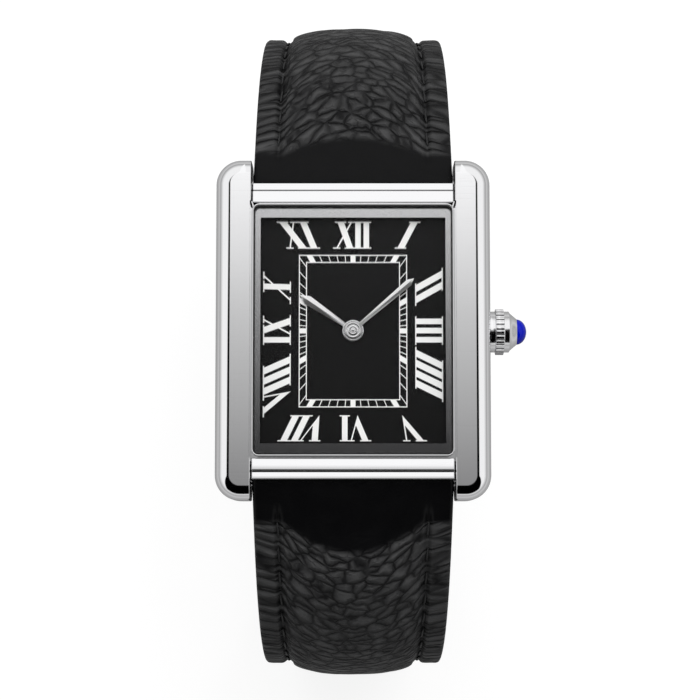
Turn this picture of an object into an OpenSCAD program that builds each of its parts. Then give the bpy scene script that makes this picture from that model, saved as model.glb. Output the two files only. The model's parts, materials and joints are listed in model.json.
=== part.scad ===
// Rectangular wristwatch with a leather strap, unbuckled, dial up.
// The dial faces +Z, 12 o'clock is +Y and the crown is +X.
// The origin is the centre of the case back's outer face.

/* [Case] */
// Gap between the two side rails
rail_gap = 20.2; // [20.1:0.1:22]
// Width of one side rail
rail_w = 3.5; // [3:0.05:4.5]
// Length of the side rails
rail_len = 33.8; // [33.2:0.1:36]
// Height of the rails above the case back's face
case_h = 6.6; // [6.4:0.1:7.5]
// Radius of the rounding along a rail's outer side and ends
rail_round = 1.5; // [1:0.05:1.6]
// Radius of a rail's outer corner seen from above
rail_corner = 2.5; // [1.5:0.1:3]
// Thickness of the case back's plate
back_t = 0.5; // [0.4:0.05:0.6]
// Wall between the movement space and the strap's end
end_wall = 1.4; // [1.2:0.05:1.6]
// Height of the top of the end bars
bar_top = 5.1; // [4.9:0.1:5.5]
// Height of the top of the lower lip over the strap's end
lip_top = 4.6; // [4.5:0.05:4.7]

/* [Dial and crystal] */
// Length of the dial's visible opening
open_len = 22.5; // [21.5:0.1:22.7]
// Width of the dial's visible opening
open_w = 18.4; // [17.6:0.1:18.6]
// Length of the dial plate
dial_len = 23.1; // [22.9:0.05:23.3]
// Width of the dial plate
dial_w = 19.1; // [18.9:0.05:19.3]
// Thickness of the dial plate
dial_t = 0.35; // [0.3:0.05:0.4]
// Thickness of the white print, with its relief
print_t = 0.03; // [0.02:0.01:0.05]
// Thickness of the crystal
crystal_t = 0.9; // [0.7:0.05:1]
// Width of the polished bezel ring
bezel_w = 0.2; // [0.14:0.02:0.24]
// Width of the crystal's gasket
gasket_w = 0.1; // [0.08:0.02:0.14]
// Open gap round the bezel, to the rails and bars
bezel_gap = 0.14; // [0.08:0.02:0.18]
// Depth of the bezel's recess into each rail
recess_in = 0.1; // [0.05:0.05:0.3]
// Corner radius of the recess that holds the bezel
bezel_r = 0.9; // [0.7:0.05:1.1]

/* [Hands] */
// Length of the minute hand from its axis
minute_len = 8; // [6.5:0.1:8.4]
// Length of the hour hand from its axis
hour_len = 6.4; // [5:0.1:6.8]
// Greatest width of the minute hand
minute_w = 0.7; // [0.5:0.02:0.8]
// Greatest width of the hour hand
hour_w = 0.94; // [0.6:0.02:1]
// Minute the hands show
shown_minute = 8.23; // [0:0.01:59.99]
// Hour the hands show
shown_hour = 10; // [1:1:12]

/* [Crown] */
// Radius of the knurled ring
crown_r = 2.3; // [2:0.05:2.4]
// Number of grooves in the knurling
knurls = 28; // [20:1:32]
// Radius of the blue cabochon
cabochon_r = 1.27; // [1:0.01:1.4]
// Radius of the stem
stem_r = 0.45; // [0.4:0.01:0.48]
// Height of the stem's axis
stem_z = 2.45; // [2.42:0.01:2.48]
// Travel of the crown when it is pulled out
crown_travel = 0.8; // [0.5:0.05:0.8]

/* [Movement] */
// Width of the main plate
plate_w = 15.2; // [15.1:0.05:15.4]
// Length of the main plate
plate_len = 17.4; // [17.3:0.05:17.6]
// Radius of the battery
battery_r = 3.4; // [3.2:0.05:3.4]
// Thickness of the battery
battery_t = 1.6; // [1.4:0.05:1.65]
// Tooth module of the motion work's first pair
motion_m = 0.1; // [0.095:0.001:0.102]
// Tooth module of the going train's rotor pair
rotor_m = 0.07; // [0.068:0.001:0.072]
// Tooth module of the going train's centre pair
centre_m = 0.065; // [0.062:0.001:0.066]

/* [Strap] */
// Width of the strap at the case
strap_w = 20; // [18:0.1:20]
// Width of the strap at the buckle
tip_w = 16; // [15.6:0.1:18]
// Length of the buckle half from the case pin to the buckle bar
strap_len_12 = 75; // [74:0.5:78]
// Length of the tail half from the case pin to its tip
strap_len_6 = 115; // [110:0.5:118]
// Radius of the strap's bend beside the case
upper_bend_r = 19.6; // [18.5:0.1:20]
// Radius of the strap's bend under the wrist
lower_bend_r = 16; // [15:0.1:16.5]
// Straight stretch of the buckle half between its bends
drop_12 = 1; // [0.5:0.1:1.5]
// Straight stretch of the tail half between its bends
drop_6 = 19; // [18:0.1:20]
// Height of the padding's crown over the sewn edges
pad_h = 1.25; // [1:0.05:1.6]
// Width of the flat edge beside the padding, with its groove
pad_edge = 2.9; // [2.6:0.05:3.4]
// Thickness of the outer leather at the sewn edges
leather_t = 1.9; // [1.7:0.05:2]
// Thickness of the lining
lining_t = 0.7; // [0.5:0.05:0.8]
// Radius of the spring bars at the case
bar_r = 0.75; // [0.65:0.01:0.8]
// Number of holes in the tail
tail_holes = 7; // [5:1:7]
// Distance between the tail's holes
hole_pitch = 6; // [5.5:0.1:6]
// Radius of a hole in the tail
hole_r = 0.85; // [0.7:0.05:1]

/* [Buckle] */
// Length of the buckle from its bar to its front
buckle_len = 12; // [11:0.1:13]
// Width of the buckle's arms and front
buckle_wire = 1.6; // [1.4:0.05:1.8]
// Thickness of the buckle
buckle_t = 1.8; // [1.6:0.05:2]
// Width of the tang
tang_w = 1.8; // [1.6:0.05:1.9]
// Radius of the buckle's bar
pin_r = 0.6; // [0.55:0.01:0.65]
// Width of a keeper along the strap
keeper_w = 4.5; // [4:0.1:4.6]
// Thickness of a keeper's leather
keeper_t = 1.1; // [0.9:0.05:1.2]

/* [Hidden] */
$fn = 48;

// Small clearances
slip = 0.02;
run = 0.05;
eps = 0.01;

// Heights of the layers, counted up from the case back's face
boss_t = 0.3;
boss_z = back_t + boss_t;
plate_z0 = 2.1;
plate_z1 = 2.75;
dial_z0 = 3.35;
dial_z1 = dial_z0 + dial_t;
ledge_z = 4.1;
crystal_z0 = 4.75;
crystal_z1 = crystal_z0 + crystal_t;
bezel_z1 = crystal_z1 - 0.05;
flange_z1 = crystal_z0 - 0.02;
hour_hand_z = dial_z1 + 0.25;
hand_t = 0.16;
minute_hand_z = hour_hand_z + hand_t + 0.18;

// Plan of the case
gap_half = rail_gap / 2;
rail_out = gap_half + rail_w;
rail_half = rail_len / 2;
rail_low = back_t;
cavity_w = dial_w + 0.1;
cavity_len = dial_len + 0.1;
wall_y = cavity_len / 2 + end_wall;
recess_half_y = cavity_len / 2 + 1.1;
recess_half_x = gap_half + recess_in;
bezel_half_x = recess_half_x - bezel_gap;
bezel_half_y = recess_half_y - bezel_gap;
seat_r = bezel_r - bezel_gap - bezel_w;
bar_y0 = recess_half_y;
bar_y1 = wall_y + 0.95;
lip_y1 = bar_y1 + 0.8;
lug_loop_r = bar_r + 1;
lug_y = wall_y + 0.25 + lug_loop_r;
lug_z = lip_top - 0.65 - 0.2 - lug_loop_r;
screw_x = gap_half + 0.9;
screw_y = cavity_len / 2 - 0.2;
screw_r = 0.5;
back_half_x = screw_x + 0.9;
back_half_y = wall_y - 0.05;

// Plan of the movement
motion_dir = -35;
motion_dist = motion_m * (12 + 36) / 2;
pinion_m = 2 * motion_dist / (10 + 40);
minute_x = motion_dist * cos(motion_dir);
minute_y = motion_dist * sin(motion_dir);
setting_dist = motion_m * (36 + 16) / 2;
setting_x = minute_x + setting_dist;
inter_dir = 100;
inter_dist = centre_m * (80 + 8) / 2;
inter_x = inter_dist * cos(inter_dir);
inter_y = inter_dist * sin(inter_dir);
rotor_dir = 158;
rotor_dist = rotor_m * (72 + 8) / 2;
rotor_x = inter_x + rotor_dist * cos(rotor_dir);
rotor_y = inter_y + rotor_dist * sin(rotor_dir);
magnet_r = 0.75;
pivot_r = 0.12;
arbor_r = 0.25;
cannon_r = 0.42;
pipe_r = 0.62;
bridge_z0 = boss_z + 0.1;
bridge_z1 = bridge_z0 + 0.22;
battery_x = -plate_w / 2 + battery_r + 0.25;
battery_y = -plate_len / 2 + battery_r + 0.25;
battery_z0 = boss_z + 0.15;
stator_z0 = 1.7;
stator_t = 0.2;
stator_y0 = rotor_y - 1;
stator_y1 = rotor_y + 1;
coil_y = stator_y1 + 2.1;
coil_r = 0.7;
coil_x0 = -5.4;
coil_x1 = 1.2;
coil_z = stator_z0 + stator_t + 0.08;
board_x0 = 1.6;
board_y1 = -3.1;
board_z0 = 1.2;
board_t = 0.25;
can_r = 0.6;
can_x = plate_w / 2 - 1.2;
can_z = board_z0 + board_t + can_r;
can_y0 = -plate_len / 2 + 0.6;
can_len = 4.2;
pillar_r = 0.4;
bridge_screws_at = [[2.55, inter_y + 1.3], [-4.7, -0.75]];
clutch_x0 = setting_x + motion_m * 9 + 0.35;
clutch_len = 0.7;
clutch_r = 0.75;
square_w = 0.6;
groove_x = clutch_x0 + clutch_len + 0.6;
groove_w = 0.5;
groove_r = 0.28;
lever_arm = 2;
lever_z0 = plate_z1 + 0.12;
lever_t = 0.2;
foot_r = 0.35;
feet_at = [[plate_w / 2 - 1, plate_len / 2 - 1.1], [-plate_w / 2 + 1, -plate_len / 2 + 8.2]];

// Crown, along X
tube_r = 0.95;
crown_x0 = rail_out - 0.05;
crown_recess_x = crown_x0 - 0.2;
socket_r = tube_r + 0.37;
gasket_len = 0.3;
socket_x = crown_x0 + gasket_len + 0.1 + crown_travel;
tube_x1 = socket_x - 0.15;
base_x = crown_x0 + 0.62;
knurl_x0 = base_x + 0.08;
knurl_x1 = knurl_x0 + 0.78;
ring_x = knurl_x1 + 0.55;
cone_x = ring_x + 0.78;
base_r = crown_r - 0.25;
cabochon_h = 1;

// Strap
start_slope = 12;
lead = 2;
loop_bore_r = bar_r + 0.07;
buckle_loop_r = pin_r + 0.85;
loop_step = 0.06;
under_n = -(lining_t + 0.5);
edge_n = under_n + lining_t + leather_t;
loop_len = 4.5;
buckle_loop_len = 5;
lining_from = 3;
lining_end_gap = 3.4;
tip_len = 7;
pad_from = 3.6;
pad_rise = 6;
pad_fade = 14;
pad_end_12 = 52;
pad_end_6 = 64;
fixed_keeper_back = 9.5;
fixed_keeper_s = strap_len_12 - fixed_keeper_back;
keeper_gap = 3.8;
free_keeper_s = fixed_keeper_s - keeper_w - keeper_gap;
first_hole_back = 19;
first_hole_s = strap_len_6 - first_hole_back;
tang_slot_half = tang_w / 2 + 0.3;
arm_in = tip_w / 2 + 0.3;
arm_out = arm_in + buckle_wire;
tang_lift = buckle_t / 2 + 0.04;
ear_len = 1;

// A point of the strap's middle line, [y, z, heading], for arc length s of the half on +Y
arc_1 = upper_bend_r * (90 - start_slope) * PI / 180;
arc_2 = lower_bend_r * PI / 2;
y_1 = lug_y + lead * cos(start_slope);
z_1 = lug_z - lead * sin(start_slope);
y_2 = y_1 + upper_bend_r * (1 - sin(start_slope));
z_2 = z_1 - upper_bend_r * cos(start_slope);
s_2 = lead + arc_1;
function strap_at(s, drop) =
    s <= lead ? [lug_y + s * cos(start_slope), lug_z - s * sin(start_slope), start_slope] :
    s <= s_2 ? upper_bend(start_slope + (s - lead) / upper_bend_r * 180 / PI) :
    s <= s_2 + drop ? [y_2, z_2 - (s - s_2), 90] :
    s <= s_2 + drop + arc_2 ? lower_bend(90 + (s - s_2 - drop) / lower_bend_r * 180 / PI, drop) :
    [y_2 - lower_bend_r - (s - s_2 - drop - arc_2), z_2 - drop - lower_bend_r, 180];
function upper_bend(a) =
    [y_1 + upper_bend_r * (sin(a) - sin(start_slope)),
     z_1 - upper_bend_r * (cos(start_slope) - cos(a)), a];
function lower_bend(a, drop) =
    [y_2 - lower_bend_r * (1 - sin(a)), z_2 - drop + lower_bend_r * cos(a), a];

// The same point moved sideways by x and outwards by n, as [x, y, z]
function strap_point(s, drop, x, n) =
    let (p = strap_at(s, drop))
    [x, p[0] + n * sin(p[2]), p[1] + n * cos(p[2])];

function smooth(t) = let (u = max(0, min(1, t))) u * u * (3 - 2 * u);
function mix(a, b, t) = a + (b - a) * t;

// Half width of the strap at s; the tail's tip is round
function half_width(s, total, is_tail) =
    let (w = mix(strap_w, tip_w, min(1, s / strap_len_12)) / 2,
         u = is_tail ? max(0, (s - total + tip_len) / tip_len) : 0)
    w * sqrt(1 - 0.93 * u * u);

// Height of the padding's crown at s, and across the strap
function crown_height(s, pad_end) =
    pad_h * smooth((s - pad_from) / pad_rise) * (1 - smooth((s - pad_end + pad_fade) / pad_fade));
function crown_shape(u) = sqrt(max(0, 1 - u * u));

// Offsets of the lower and upper faces from the middle line
function loop_part(s) = 1 - smooth(s / loop_len);
function end_part(s, total, is_tail) = is_tail ? 0 : smooth((s - total + buckle_loop_len) / buckle_loop_len);
function under(s, total, is_tail) =
    mix(mix(under_n, -lug_loop_r + loop_step, loop_part(s)),
        -buckle_loop_r + loop_step, end_part(s, total, is_tail));
function edge_top(s, total, is_tail) =
    mix(mix(edge_n, lug_loop_r - loop_step, loop_part(s)),
        buckle_loop_r - loop_step, end_part(s, total, is_tail));
function lining_to(total, is_tail) = total - (is_tail ? 1.2 : lining_end_gap);
function has_lining(s, total, is_tail) = s > lining_from + 0.2 && s < lining_to(total, is_tail) + 0.1;
function low(s, total, is_tail) =
    under(s, total, is_tail) + (has_lining(s, total, is_tail) ? lining_t : 0);

// Places across the strap where its section has a point, as signed shares of the padding's half width
pad_marks = [-1, -0.93, -0.75, -0.4, 0, 0.4, 0.75, 0.93, 1];

// Stations along one half, closer in the bends
function stations(total, drop, is_tail) = concat(
    [0, 1, 2, 3, 3.4, 4, 5, 6.2, 7.5, 9, 10.5],
    [for (i = [1:9]) 10.5 + (s_2 - 10.5) * i / 9],
    drop > 4 ? [s_2 + drop / 2, s_2 + drop] : [s_2 + drop],
    [for (i = [1:11]) s_2 + drop + arc_2 * i / 11],
    is_tail ? [total - tip_len, total - 5.2, total - 3.6, total - 2.2, total - 1.2, total - 0.5, total]
            : [total - 5, total - 4.2, total - lining_end_gap, total - 3, total - 2, total - 1, total]);

// A closed skin through rings, each an upper row of points and a lower row that runs back under it
module loft(rings) {
    k = len(rings[0]);
    m = k / 2;
    n = len(rings);
    points = [for (ring = rings) for (p = ring) p];
    sides = [for (i = [0:n - 2]) for (j = [0:k - 1]) let (a = i * k + j, b = i * k + (j + 1) % k)
        each [[b, a, a + k], [b, a + k, b + k]]];
    first = [for (j = [0:m - 2]) each [[j, j + 1, k - 1 - j], [j + 1, k - 2 - j, k - 1 - j]]];
    last_at = (n - 1) * k;
    last = [for (t = first) [last_at + t[0], last_at + t[2], last_at + t[1]]];
    polyhedron(points, concat(sides, first, last), convexity = 6);
}

// Half width of the padded middle, where the strap's half width is w
function pad_half(w) = max(w - pad_edge, w / 2);

// Section of the outer leather: its top with the crown, then its lower face, hollow over the padding
function leather_ring(s, total, drop, is_tail, pad_end) =
    let (w = half_width(s, total, is_tail), p = pad_half(w),
         c = crown_height(s, pad_end), top = edge_top(s, total, is_tail), base = low(s, total, is_tail))
    concat(
        [strap_point(s, drop, -w, top)],
        [for (u = pad_marks) strap_point(s, drop, u * p, top + c * crown_shape(u))],
        [strap_point(s, drop, w, top), strap_point(s, drop, w, base)],
        [for (i = [len(pad_marks) - 1:-1:0]) let (u = pad_marks[i])
            strap_point(s, drop, u * p, base + 0.9 * c * crown_shape(u))],
        [strap_point(s, drop, -w, base)]);

// Section of the padding, a little smaller than the hollow that it fills
function padding_ring(s, total, drop, is_tail, pad_end) =
    let (w = half_width(s, total, is_tail), p = 0.96 * pad_half(w),
         c = crown_height(s, pad_end), base = low(s, total, is_tail))
    concat(
        [for (u = pad_marks) strap_point(s, drop, u * p, base + c * (0.03 + 0.86 * crown_shape(u)))],
        [for (i = [len(pad_marks) - 1:-1:0]) strap_point(s, drop, pad_marks[i] * p, base)]);
function lining_ring(s, total, drop, is_tail) =
    let (w = half_width(s, total, is_tail), a = under(s, total, is_tail))
    [strap_point(s, drop, -w, a + lining_t), strap_point(s, drop, w, a + lining_t),
     strap_point(s, drop, w, a), strap_point(s, drop, -w, a)];

module strap_leather(total, drop, is_tail, pad_end)
    loft([for (s = stations(total, drop, is_tail)) leather_ring(s, total, drop, is_tail, pad_end)]);
module strap_padding(total, drop, is_tail, pad_end)
    loft([for (s = stations(total, drop, is_tail)) if (crown_height(s, pad_end) > 0.2 * pad_h)
        padding_ring(s, total, drop, is_tail, pad_end)]);
module strap_lining(total, drop, is_tail)
    loft([for (s = stations(total, drop, is_tail)) if (has_lining(s, total, is_tail))
        lining_ring(s, total, drop, is_tail)]);

// Puts its children at arc length s, with +Y along the strap and +Z outwards
module on_strap(s, drop) {
    p = strap_at(s, drop);
    translate([0, p[0], p[1]]) rotate([-p[2], 0, 0]) children();
}

// A cylinder along X between two places
module rod_x(r, x0, x1) translate([x0, 0, 0]) rotate([0, 90, 0]) cylinder(r = r, h = x1 - x0);

// A rectangle with round corners, centred
module round_rect(w, l, r) {
    square([w - 2 * r, l], center = true);
    square([w, l - 2 * r], center = true);
    for (x = [-1, 1]) for (y = [-1, 1]) translate([x * (w / 2 - r), y * (l / 2 - r)]) circle(r);
}
module slab(w, l, z0, z1) translate([-w / 2, -l / 2, z0]) cube([w, l, z1 - z0]);
module four_corners(x, y) for (i = [-1, 1]) for (j = [-1, 1]) translate([i * x, j * y, 0]) children();

// A gear outline: straight-sided teeth with play, the first tooth on +X
module gear_shape(teeth, m) {
    step = 360 / teeth;
    r = teeth * m / 2;
    polygon([for (i = [0:teeth - 1]) for (q = [[-0.29, -1], [-0.12, 0.7], [0.12, 0.7], [0.29, -1]])
        (r + q[1] * m) * [cos((i + q[0]) * step), sin((i + q[0]) * step)]]);
}
module gear(teeth, m, z0, z1, turn) rotate(turn) translate([0, 0, z0]) linear_extrude(z1 - z0)
    gear_shape(teeth, m);

// Turn of a gear with to_teeth that meshes with one of from_teeth turned by from_turn, in direction dir
function mesh_turn(from_turn, from_teeth, to_teeth, dir) =
    dir + 180 - (from_turn - dir) * from_teeth / to_teeth + 180 / to_teeth;

// Case

// Half of a rail's section at its rounded outer side, from the middle of its corner outwards
module rail_edge() {
    h = case_h - rail_low;
    square([rail_corner - rail_round, h]);
    translate([0, rail_round]) square([rail_corner, h - 2 * rail_round]);
    for (y = [rail_round, h - rail_round]) translate([rail_corner - rail_round, y]) intersection() {
        circle(rail_round);
        translate([-0.1, -rail_round]) square([rail_round + 1, 2 * rail_round]);
    }
}
module rail() translate([0, 0, rail_low]) {
    cx = rail_out - rail_corner;
    cy = rail_half - rail_corner;
    translate([gap_half, -cy, 0]) cube([cx - gap_half, 2 * cy, case_h - rail_low]);
    translate([cx, 0, 0]) rotate([90, 0, 0]) linear_extrude(2 * cy, center = true) rail_edge();
    for (j = [0, 1]) mirror([0, j, 0]) {
        translate([cx, cy, 0]) rotate_extrude(angle = 90) rail_edge();
        translate([gap_half, cy, 0]) rotate([90, 0, 90]) linear_extrude(cx - gap_half) rail_edge();
    }
}
module end_bar() {
    r = 0.3;
    rotate([90, 0, 90]) linear_extrude(rail_gap, center = true) {
        translate([bar_y0, ledge_z - 0.3]) square([bar_y1 - bar_y0, bar_top - ledge_z + 0.3 - r]);
        translate([bar_y0 + r, bar_top - r - eps]) square([bar_y1 - bar_y0 - 2 * r, r + eps]);
        for (y = [bar_y0 + r, bar_y1 - r]) translate([y, bar_top - r]) circle(r);
        translate([wall_y - eps, lip_top - 0.65]) square([lip_y1 - wall_y + eps, 0.65]);
    }
}
module case_body() color([0.75, 0.76, 0.78]) difference() {
    union() {
        rail();
        mirror([1, 0, 0]) rail();
        slab(rail_gap + eps, 2 * wall_y, rail_low, lip_top);
        end_bar();
        mirror([0, 1, 0]) end_bar();
    }
    slab(cavity_w, cavity_len, 0, case_h);
    translate([0, 0, ledge_z]) linear_extrude(case_h)
        round_rect(2 * recess_half_x, 2 * recess_half_y, bezel_r);
    translate([0, 0, rail_low - eps]) linear_extrude(0.35 + eps)
        round_rect(cavity_w + 0.8, cavity_len + 0.8, 0.4);
    for (y = [-1, 1]) translate([0, y * lug_y, lug_z]) rod_x(0.45, -rail_out + 1.6, rail_out - 1.6);
    translate([0, 0, stem_z]) {
        rod_x(tube_r, cavity_w / 2 - 1, rail_out + 1);
        rod_x(crown_r + 0.2, crown_recess_x, rail_out + 1);
    }
    four_corners(screw_x, screw_y) translate([0, 0, rail_low - 1]) cylinder(r = screw_r, h = 3);
}

module bezel() color([0.8, 0.8, 0.82]) translate([0, 0, ledge_z + slip])
    linear_extrude(bezel_z1 - ledge_z - slip) difference() {
        round_rect(2 * bezel_half_x, 2 * bezel_half_y, bezel_r - bezel_gap);
        round_rect(2 * (bezel_half_x - bezel_w), 2 * (bezel_half_y - bezel_w), seat_r);
    }

crystal_half_x = bezel_half_x - bezel_w - gasket_w;
crystal_half_y = bezel_half_y - bezel_w - gasket_w;
module crystal() color([0.85, 0.9, 0.95, 0.25]) translate([0, 0, crystal_z0]) linear_extrude(crystal_t)
    round_rect(2 * crystal_half_x, 2 * crystal_half_y, seat_r - gasket_w);
module crystal_gasket() color([0.1, 0.1, 0.1]) translate([0, 0, crystal_z0])
    linear_extrude(bezel_z1 - crystal_z0 - 0.05) difference() {
        round_rect(2 * (crystal_half_x + gasket_w), 2 * (crystal_half_y + gasket_w), seat_r);
        round_rect(2 * crystal_half_x, 2 * crystal_half_y, seat_r - gasket_w);
    }

// Flat frame under the crystal, with an upright wall down to the dial
module dial_flange() color([0.45, 0.46, 0.48]) difference() {
    union() {
        slab(cavity_w - 0.1, cavity_len - 0.1, dial_z1, ledge_z + 0.01);
        translate([0, 0, ledge_z]) linear_extrude(flange_z1 - ledge_z)
            round_rect(2 * (bezel_half_x - bezel_w - run), 2 * (bezel_half_y - bezel_w - run), seat_r - run);
    }
    slab(open_w, open_len, dial_z0, crystal_z0);
}

module dial() color([0.06, 0.06, 0.06]) {
    difference() {
        slab(dial_w, dial_len, dial_z0, dial_z1);
        translate([0, 0, dial_z0 - 1]) cylinder(r = pipe_r + 0.13, h = 2);
    }
    for (p = feet_at) translate([p[0], p[1], plate_z0 + 0.1])
        cylinder(r = foot_r, h = dial_z0 - plate_z0 - 0.1);
}

// Dial print

// Bands that hold the numerals: distance from the dial's centre to the inner and outer edges
band_top = [8.27, 10.98];
band_side = [6.2, 8.96];
band_bottom = [8.42, 11];
stroke_w = 0.55;
hair_w = 0.13;
serif_t = 0.11;

// A point of a letter: v from the inner to the outer edge, u from the letter's middle, sheared by lean
function glyph_point(band, lean, u, v) = [u + lean * (v - 0.5), mix(band[0], band[1], v)];

// A stroke from u0 at the inner edge to u1 at the outer edge; a slanted one is a little wider
module stroke(band, lean, u0, u1, w) {
    a = glyph_point(band, lean, u0, 0);
    b = glyph_point(band, lean, u1, 1);
    half = [w / 2 + 0.05 * w / stroke_w * abs(b[0] - a[0]), 0];
    polygon([a - half, b - half, b + half, a + half]);
}
module serif(band, lean, u, v, half) {
    p = glyph_point(band, lean, u, v);
    translate([p[0] - half, p[1] - (v > 0.5 ? serif_t : 0)]) square([2 * half, serif_t]);
}
module glyph_i(band, lean, u) {
    stroke(band, lean, u, u, stroke_w);
    for (v = [0, 1]) serif(band, lean, u, v, lean == 0 ? 0.5 : 0.57);
}
module glyph_x(band, lean, u) {
    stroke(band, lean, u + 0.55, u - 0.42, stroke_w);
    stroke(band, lean, u - 0.8, u + 0.69, hair_w);
    for (v = [0, 1]) {
        serif(band, lean, v > 0.5 ? u - 0.42 : u + 0.55, v, 0.56);
        serif(band, lean, v > 0.5 ? u + 0.69 : u - 0.8, v, 0.36);
    }
}
module glyph_v(band, lean, u) {
    polygon([for (p = [[0.05, 0], [0.76, 1], [0.63, 1], [0.21, 0.39], [-0.44, 1], [-1.06, 1]])
        glyph_point(band, lean, u + p[0], p[1])]);
    serif(band, lean, u - 0.75, 1, 0.56);
    serif(band, lean, u + 0.7, 1, 0.36);
}
// Numerals: the side they stand on, their lean, the middle of the first letter, the spacing, the letters
numerals = [
    [0, -1.14, -6.07, 1.02, "XI"], [0, 0, -0.83, 0.83, "XII"], [0, 1.42, 5.46, 1, "I"],
    [90, -1.55, -4.97, 1.12, "II"], [90, 0, -0.95, 0.92, "III"], [90, 1.35, 2.86, 1, "IIII"],
    [180, -1.1, -5.48, 1, "V"], [180, 0, -0.5, 1.09, "VI"], [180, 1.27, 3.92, 1.07, "VII"],
    [270, -1.22, -6.7, 1.01, "VIII"], [270, 0, -0.9, 0.85, "IX"], [270, 1.05, 4.36, 1, "X"]];
function letter_gap(a, b) = a == "I" && b == "I" ? 1 : a == "V" ? 1.21 : 1.6;
function letter_at(word, i, first, pitch) =
    i == 0 ? first : letter_at(word, i - 1, first, pitch) + pitch * letter_gap(word[i - 1], word[i]);
module numeral_print() for (n = numerals) rotate(-n[0]) {
    band = n[0] == 0 ? band_top : n[0] == 180 ? band_bottom : band_side;
    for (i = [0:len(n[4]) - 1]) {
        u = letter_at(n[4], i, n[2], n[3]);
        if (n[4][i] == "I") glyph_i(band, n[1], u);
        if (n[4][i] == "X") glyph_x(band, n[1], u);
        if (n[4][i] == "V") glyph_v(band, n[1], u);
    }
}
track_out = [5.4, 7.63];
track_in = [4.6, 6.83];
line_w = 0.09;
module frame_line(half) difference() {
    square(2 * half, center = true);
    square(2 * (half - [line_w, line_w]), center = true);
}
module track_print() {
    frame_line(track_out);
    frame_line(track_in + [line_w, line_w]);
    intersection() {
        difference() {
            square(2 * track_out - [line_w, line_w], center = true);
            square(2 * track_in + [line_w, line_w], center = true);
        }
        for (k = [0:59]) rotate(-6 * k) translate([k % 5 == 0 ? -0.25 : -0.035, 0])
            square([k % 5 == 0 ? 0.5 : 0.07, 12]);
    }
}
module dial_print() color([0.95, 0.95, 0.95]) translate([0, 0, dial_z1]) linear_extrude(print_t) {
    numeral_print();
    track_print();
}

// Hands, with a ridge along the middle

module lance(from_r, reach, half_w, neck, tip) {
    belly = reach - tip;
    p = [[-neck, from_r, 0], [-half_w, belly, 0], [0, reach, 0], [half_w, belly, 0], [neck, from_r, 0],
         [0, from_r, hand_t], [0, belly, hand_t]];
    polyhedron(p, [[4, 3, 2, 1, 0], [0, 1, 6], [0, 6, 5], [1, 2, 6],
        [2, 3, 6], [3, 4, 5], [3, 5, 6], [0, 5, 4]]);
}
minute_turn = -6 * shown_minute;
hour_turn = -30 * (shown_hour + shown_minute / 60);
module hour_hand() color([0.8, 0.8, 0.82]) translate([0, 0, hour_hand_z]) difference() {
    union() {
        cylinder(r = 1.05, h = hand_t);
        rotate(hour_turn) lance(0.8, hour_len, hour_w / 2, 0.21, 0.95);
    }
    translate([0, 0, -1]) cylinder(r = pipe_r, h = 3);
}
module minute_hand() color([0.8, 0.8, 0.82]) translate([0, 0, minute_hand_z]) difference() {
    union() {
        cylinder(r = 0.8, h = hand_t);
        rotate(minute_turn) lance(0.7, minute_len, minute_w / 2, 0.18, 0.65);
    }
    translate([0, 0, -1]) cylinder(r = cannon_r, h = 3);
}

// Motion work, under the dial

cannon_z0 = plate_z1 + 0.04;
wheel_z0 = plate_z1 + 0.2;
wheel_z1 = wheel_z0 + 0.15;
hour_z0 = wheel_z1 + 0.05;
hour_z1 = hour_z0 + 0.13;
module cannon_pinion() color([0.8, 0.8, 0.82]) difference() {
    union() {
        translate([0, 0, cannon_z0]) cylinder(r = cannon_r, h = minute_hand_z + hand_t - cannon_z0);
        gear(12, motion_m, cannon_z0, wheel_z1, 0);
    }
    translate([0, 0, cannon_z0 - 1]) cylinder(r = arbor_r, h = 4);
}
module hour_wheel() color([0.85, 0.7, 0.35]) difference() {
    union() {
        gear(40, pinion_m, hour_z0, hour_z1, mesh_turn(0, 10, 40, motion_dir + 180));
        translate([0, 0, hour_z0]) cylinder(r = pipe_r, h = hour_hand_z + hand_t - hour_z0);
    }
    translate([0, 0, hour_z0 - 1]) cylinder(r = cannon_r + run, h = 4);
}
minute_wheel_turn = mesh_turn(0, 12, 36, motion_dir);
module minute_wheel() color([0.85, 0.7, 0.35]) translate([minute_x, minute_y, 0]) difference() {
    union() {
        gear(36, motion_m, wheel_z0, wheel_z1, minute_wheel_turn);
        gear(10, pinion_m, wheel_z1 - eps, hour_z1, 0);
    }
    translate([0, 0, plate_z1]) cylinder(r = pivot_r + slip, h = 1);
}
module setting_wheel() color([0.75, 0.75, 0.78]) translate([setting_x, minute_y, 0]) difference() {
    gear(16, motion_m, wheel_z0, wheel_z1, mesh_turn(minute_wheel_turn, 36, 16, 0));
    translate([0, 0, plate_z1]) cylinder(r = pivot_r + slip, h = 1);
}

// Going train, under the main plate

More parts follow.
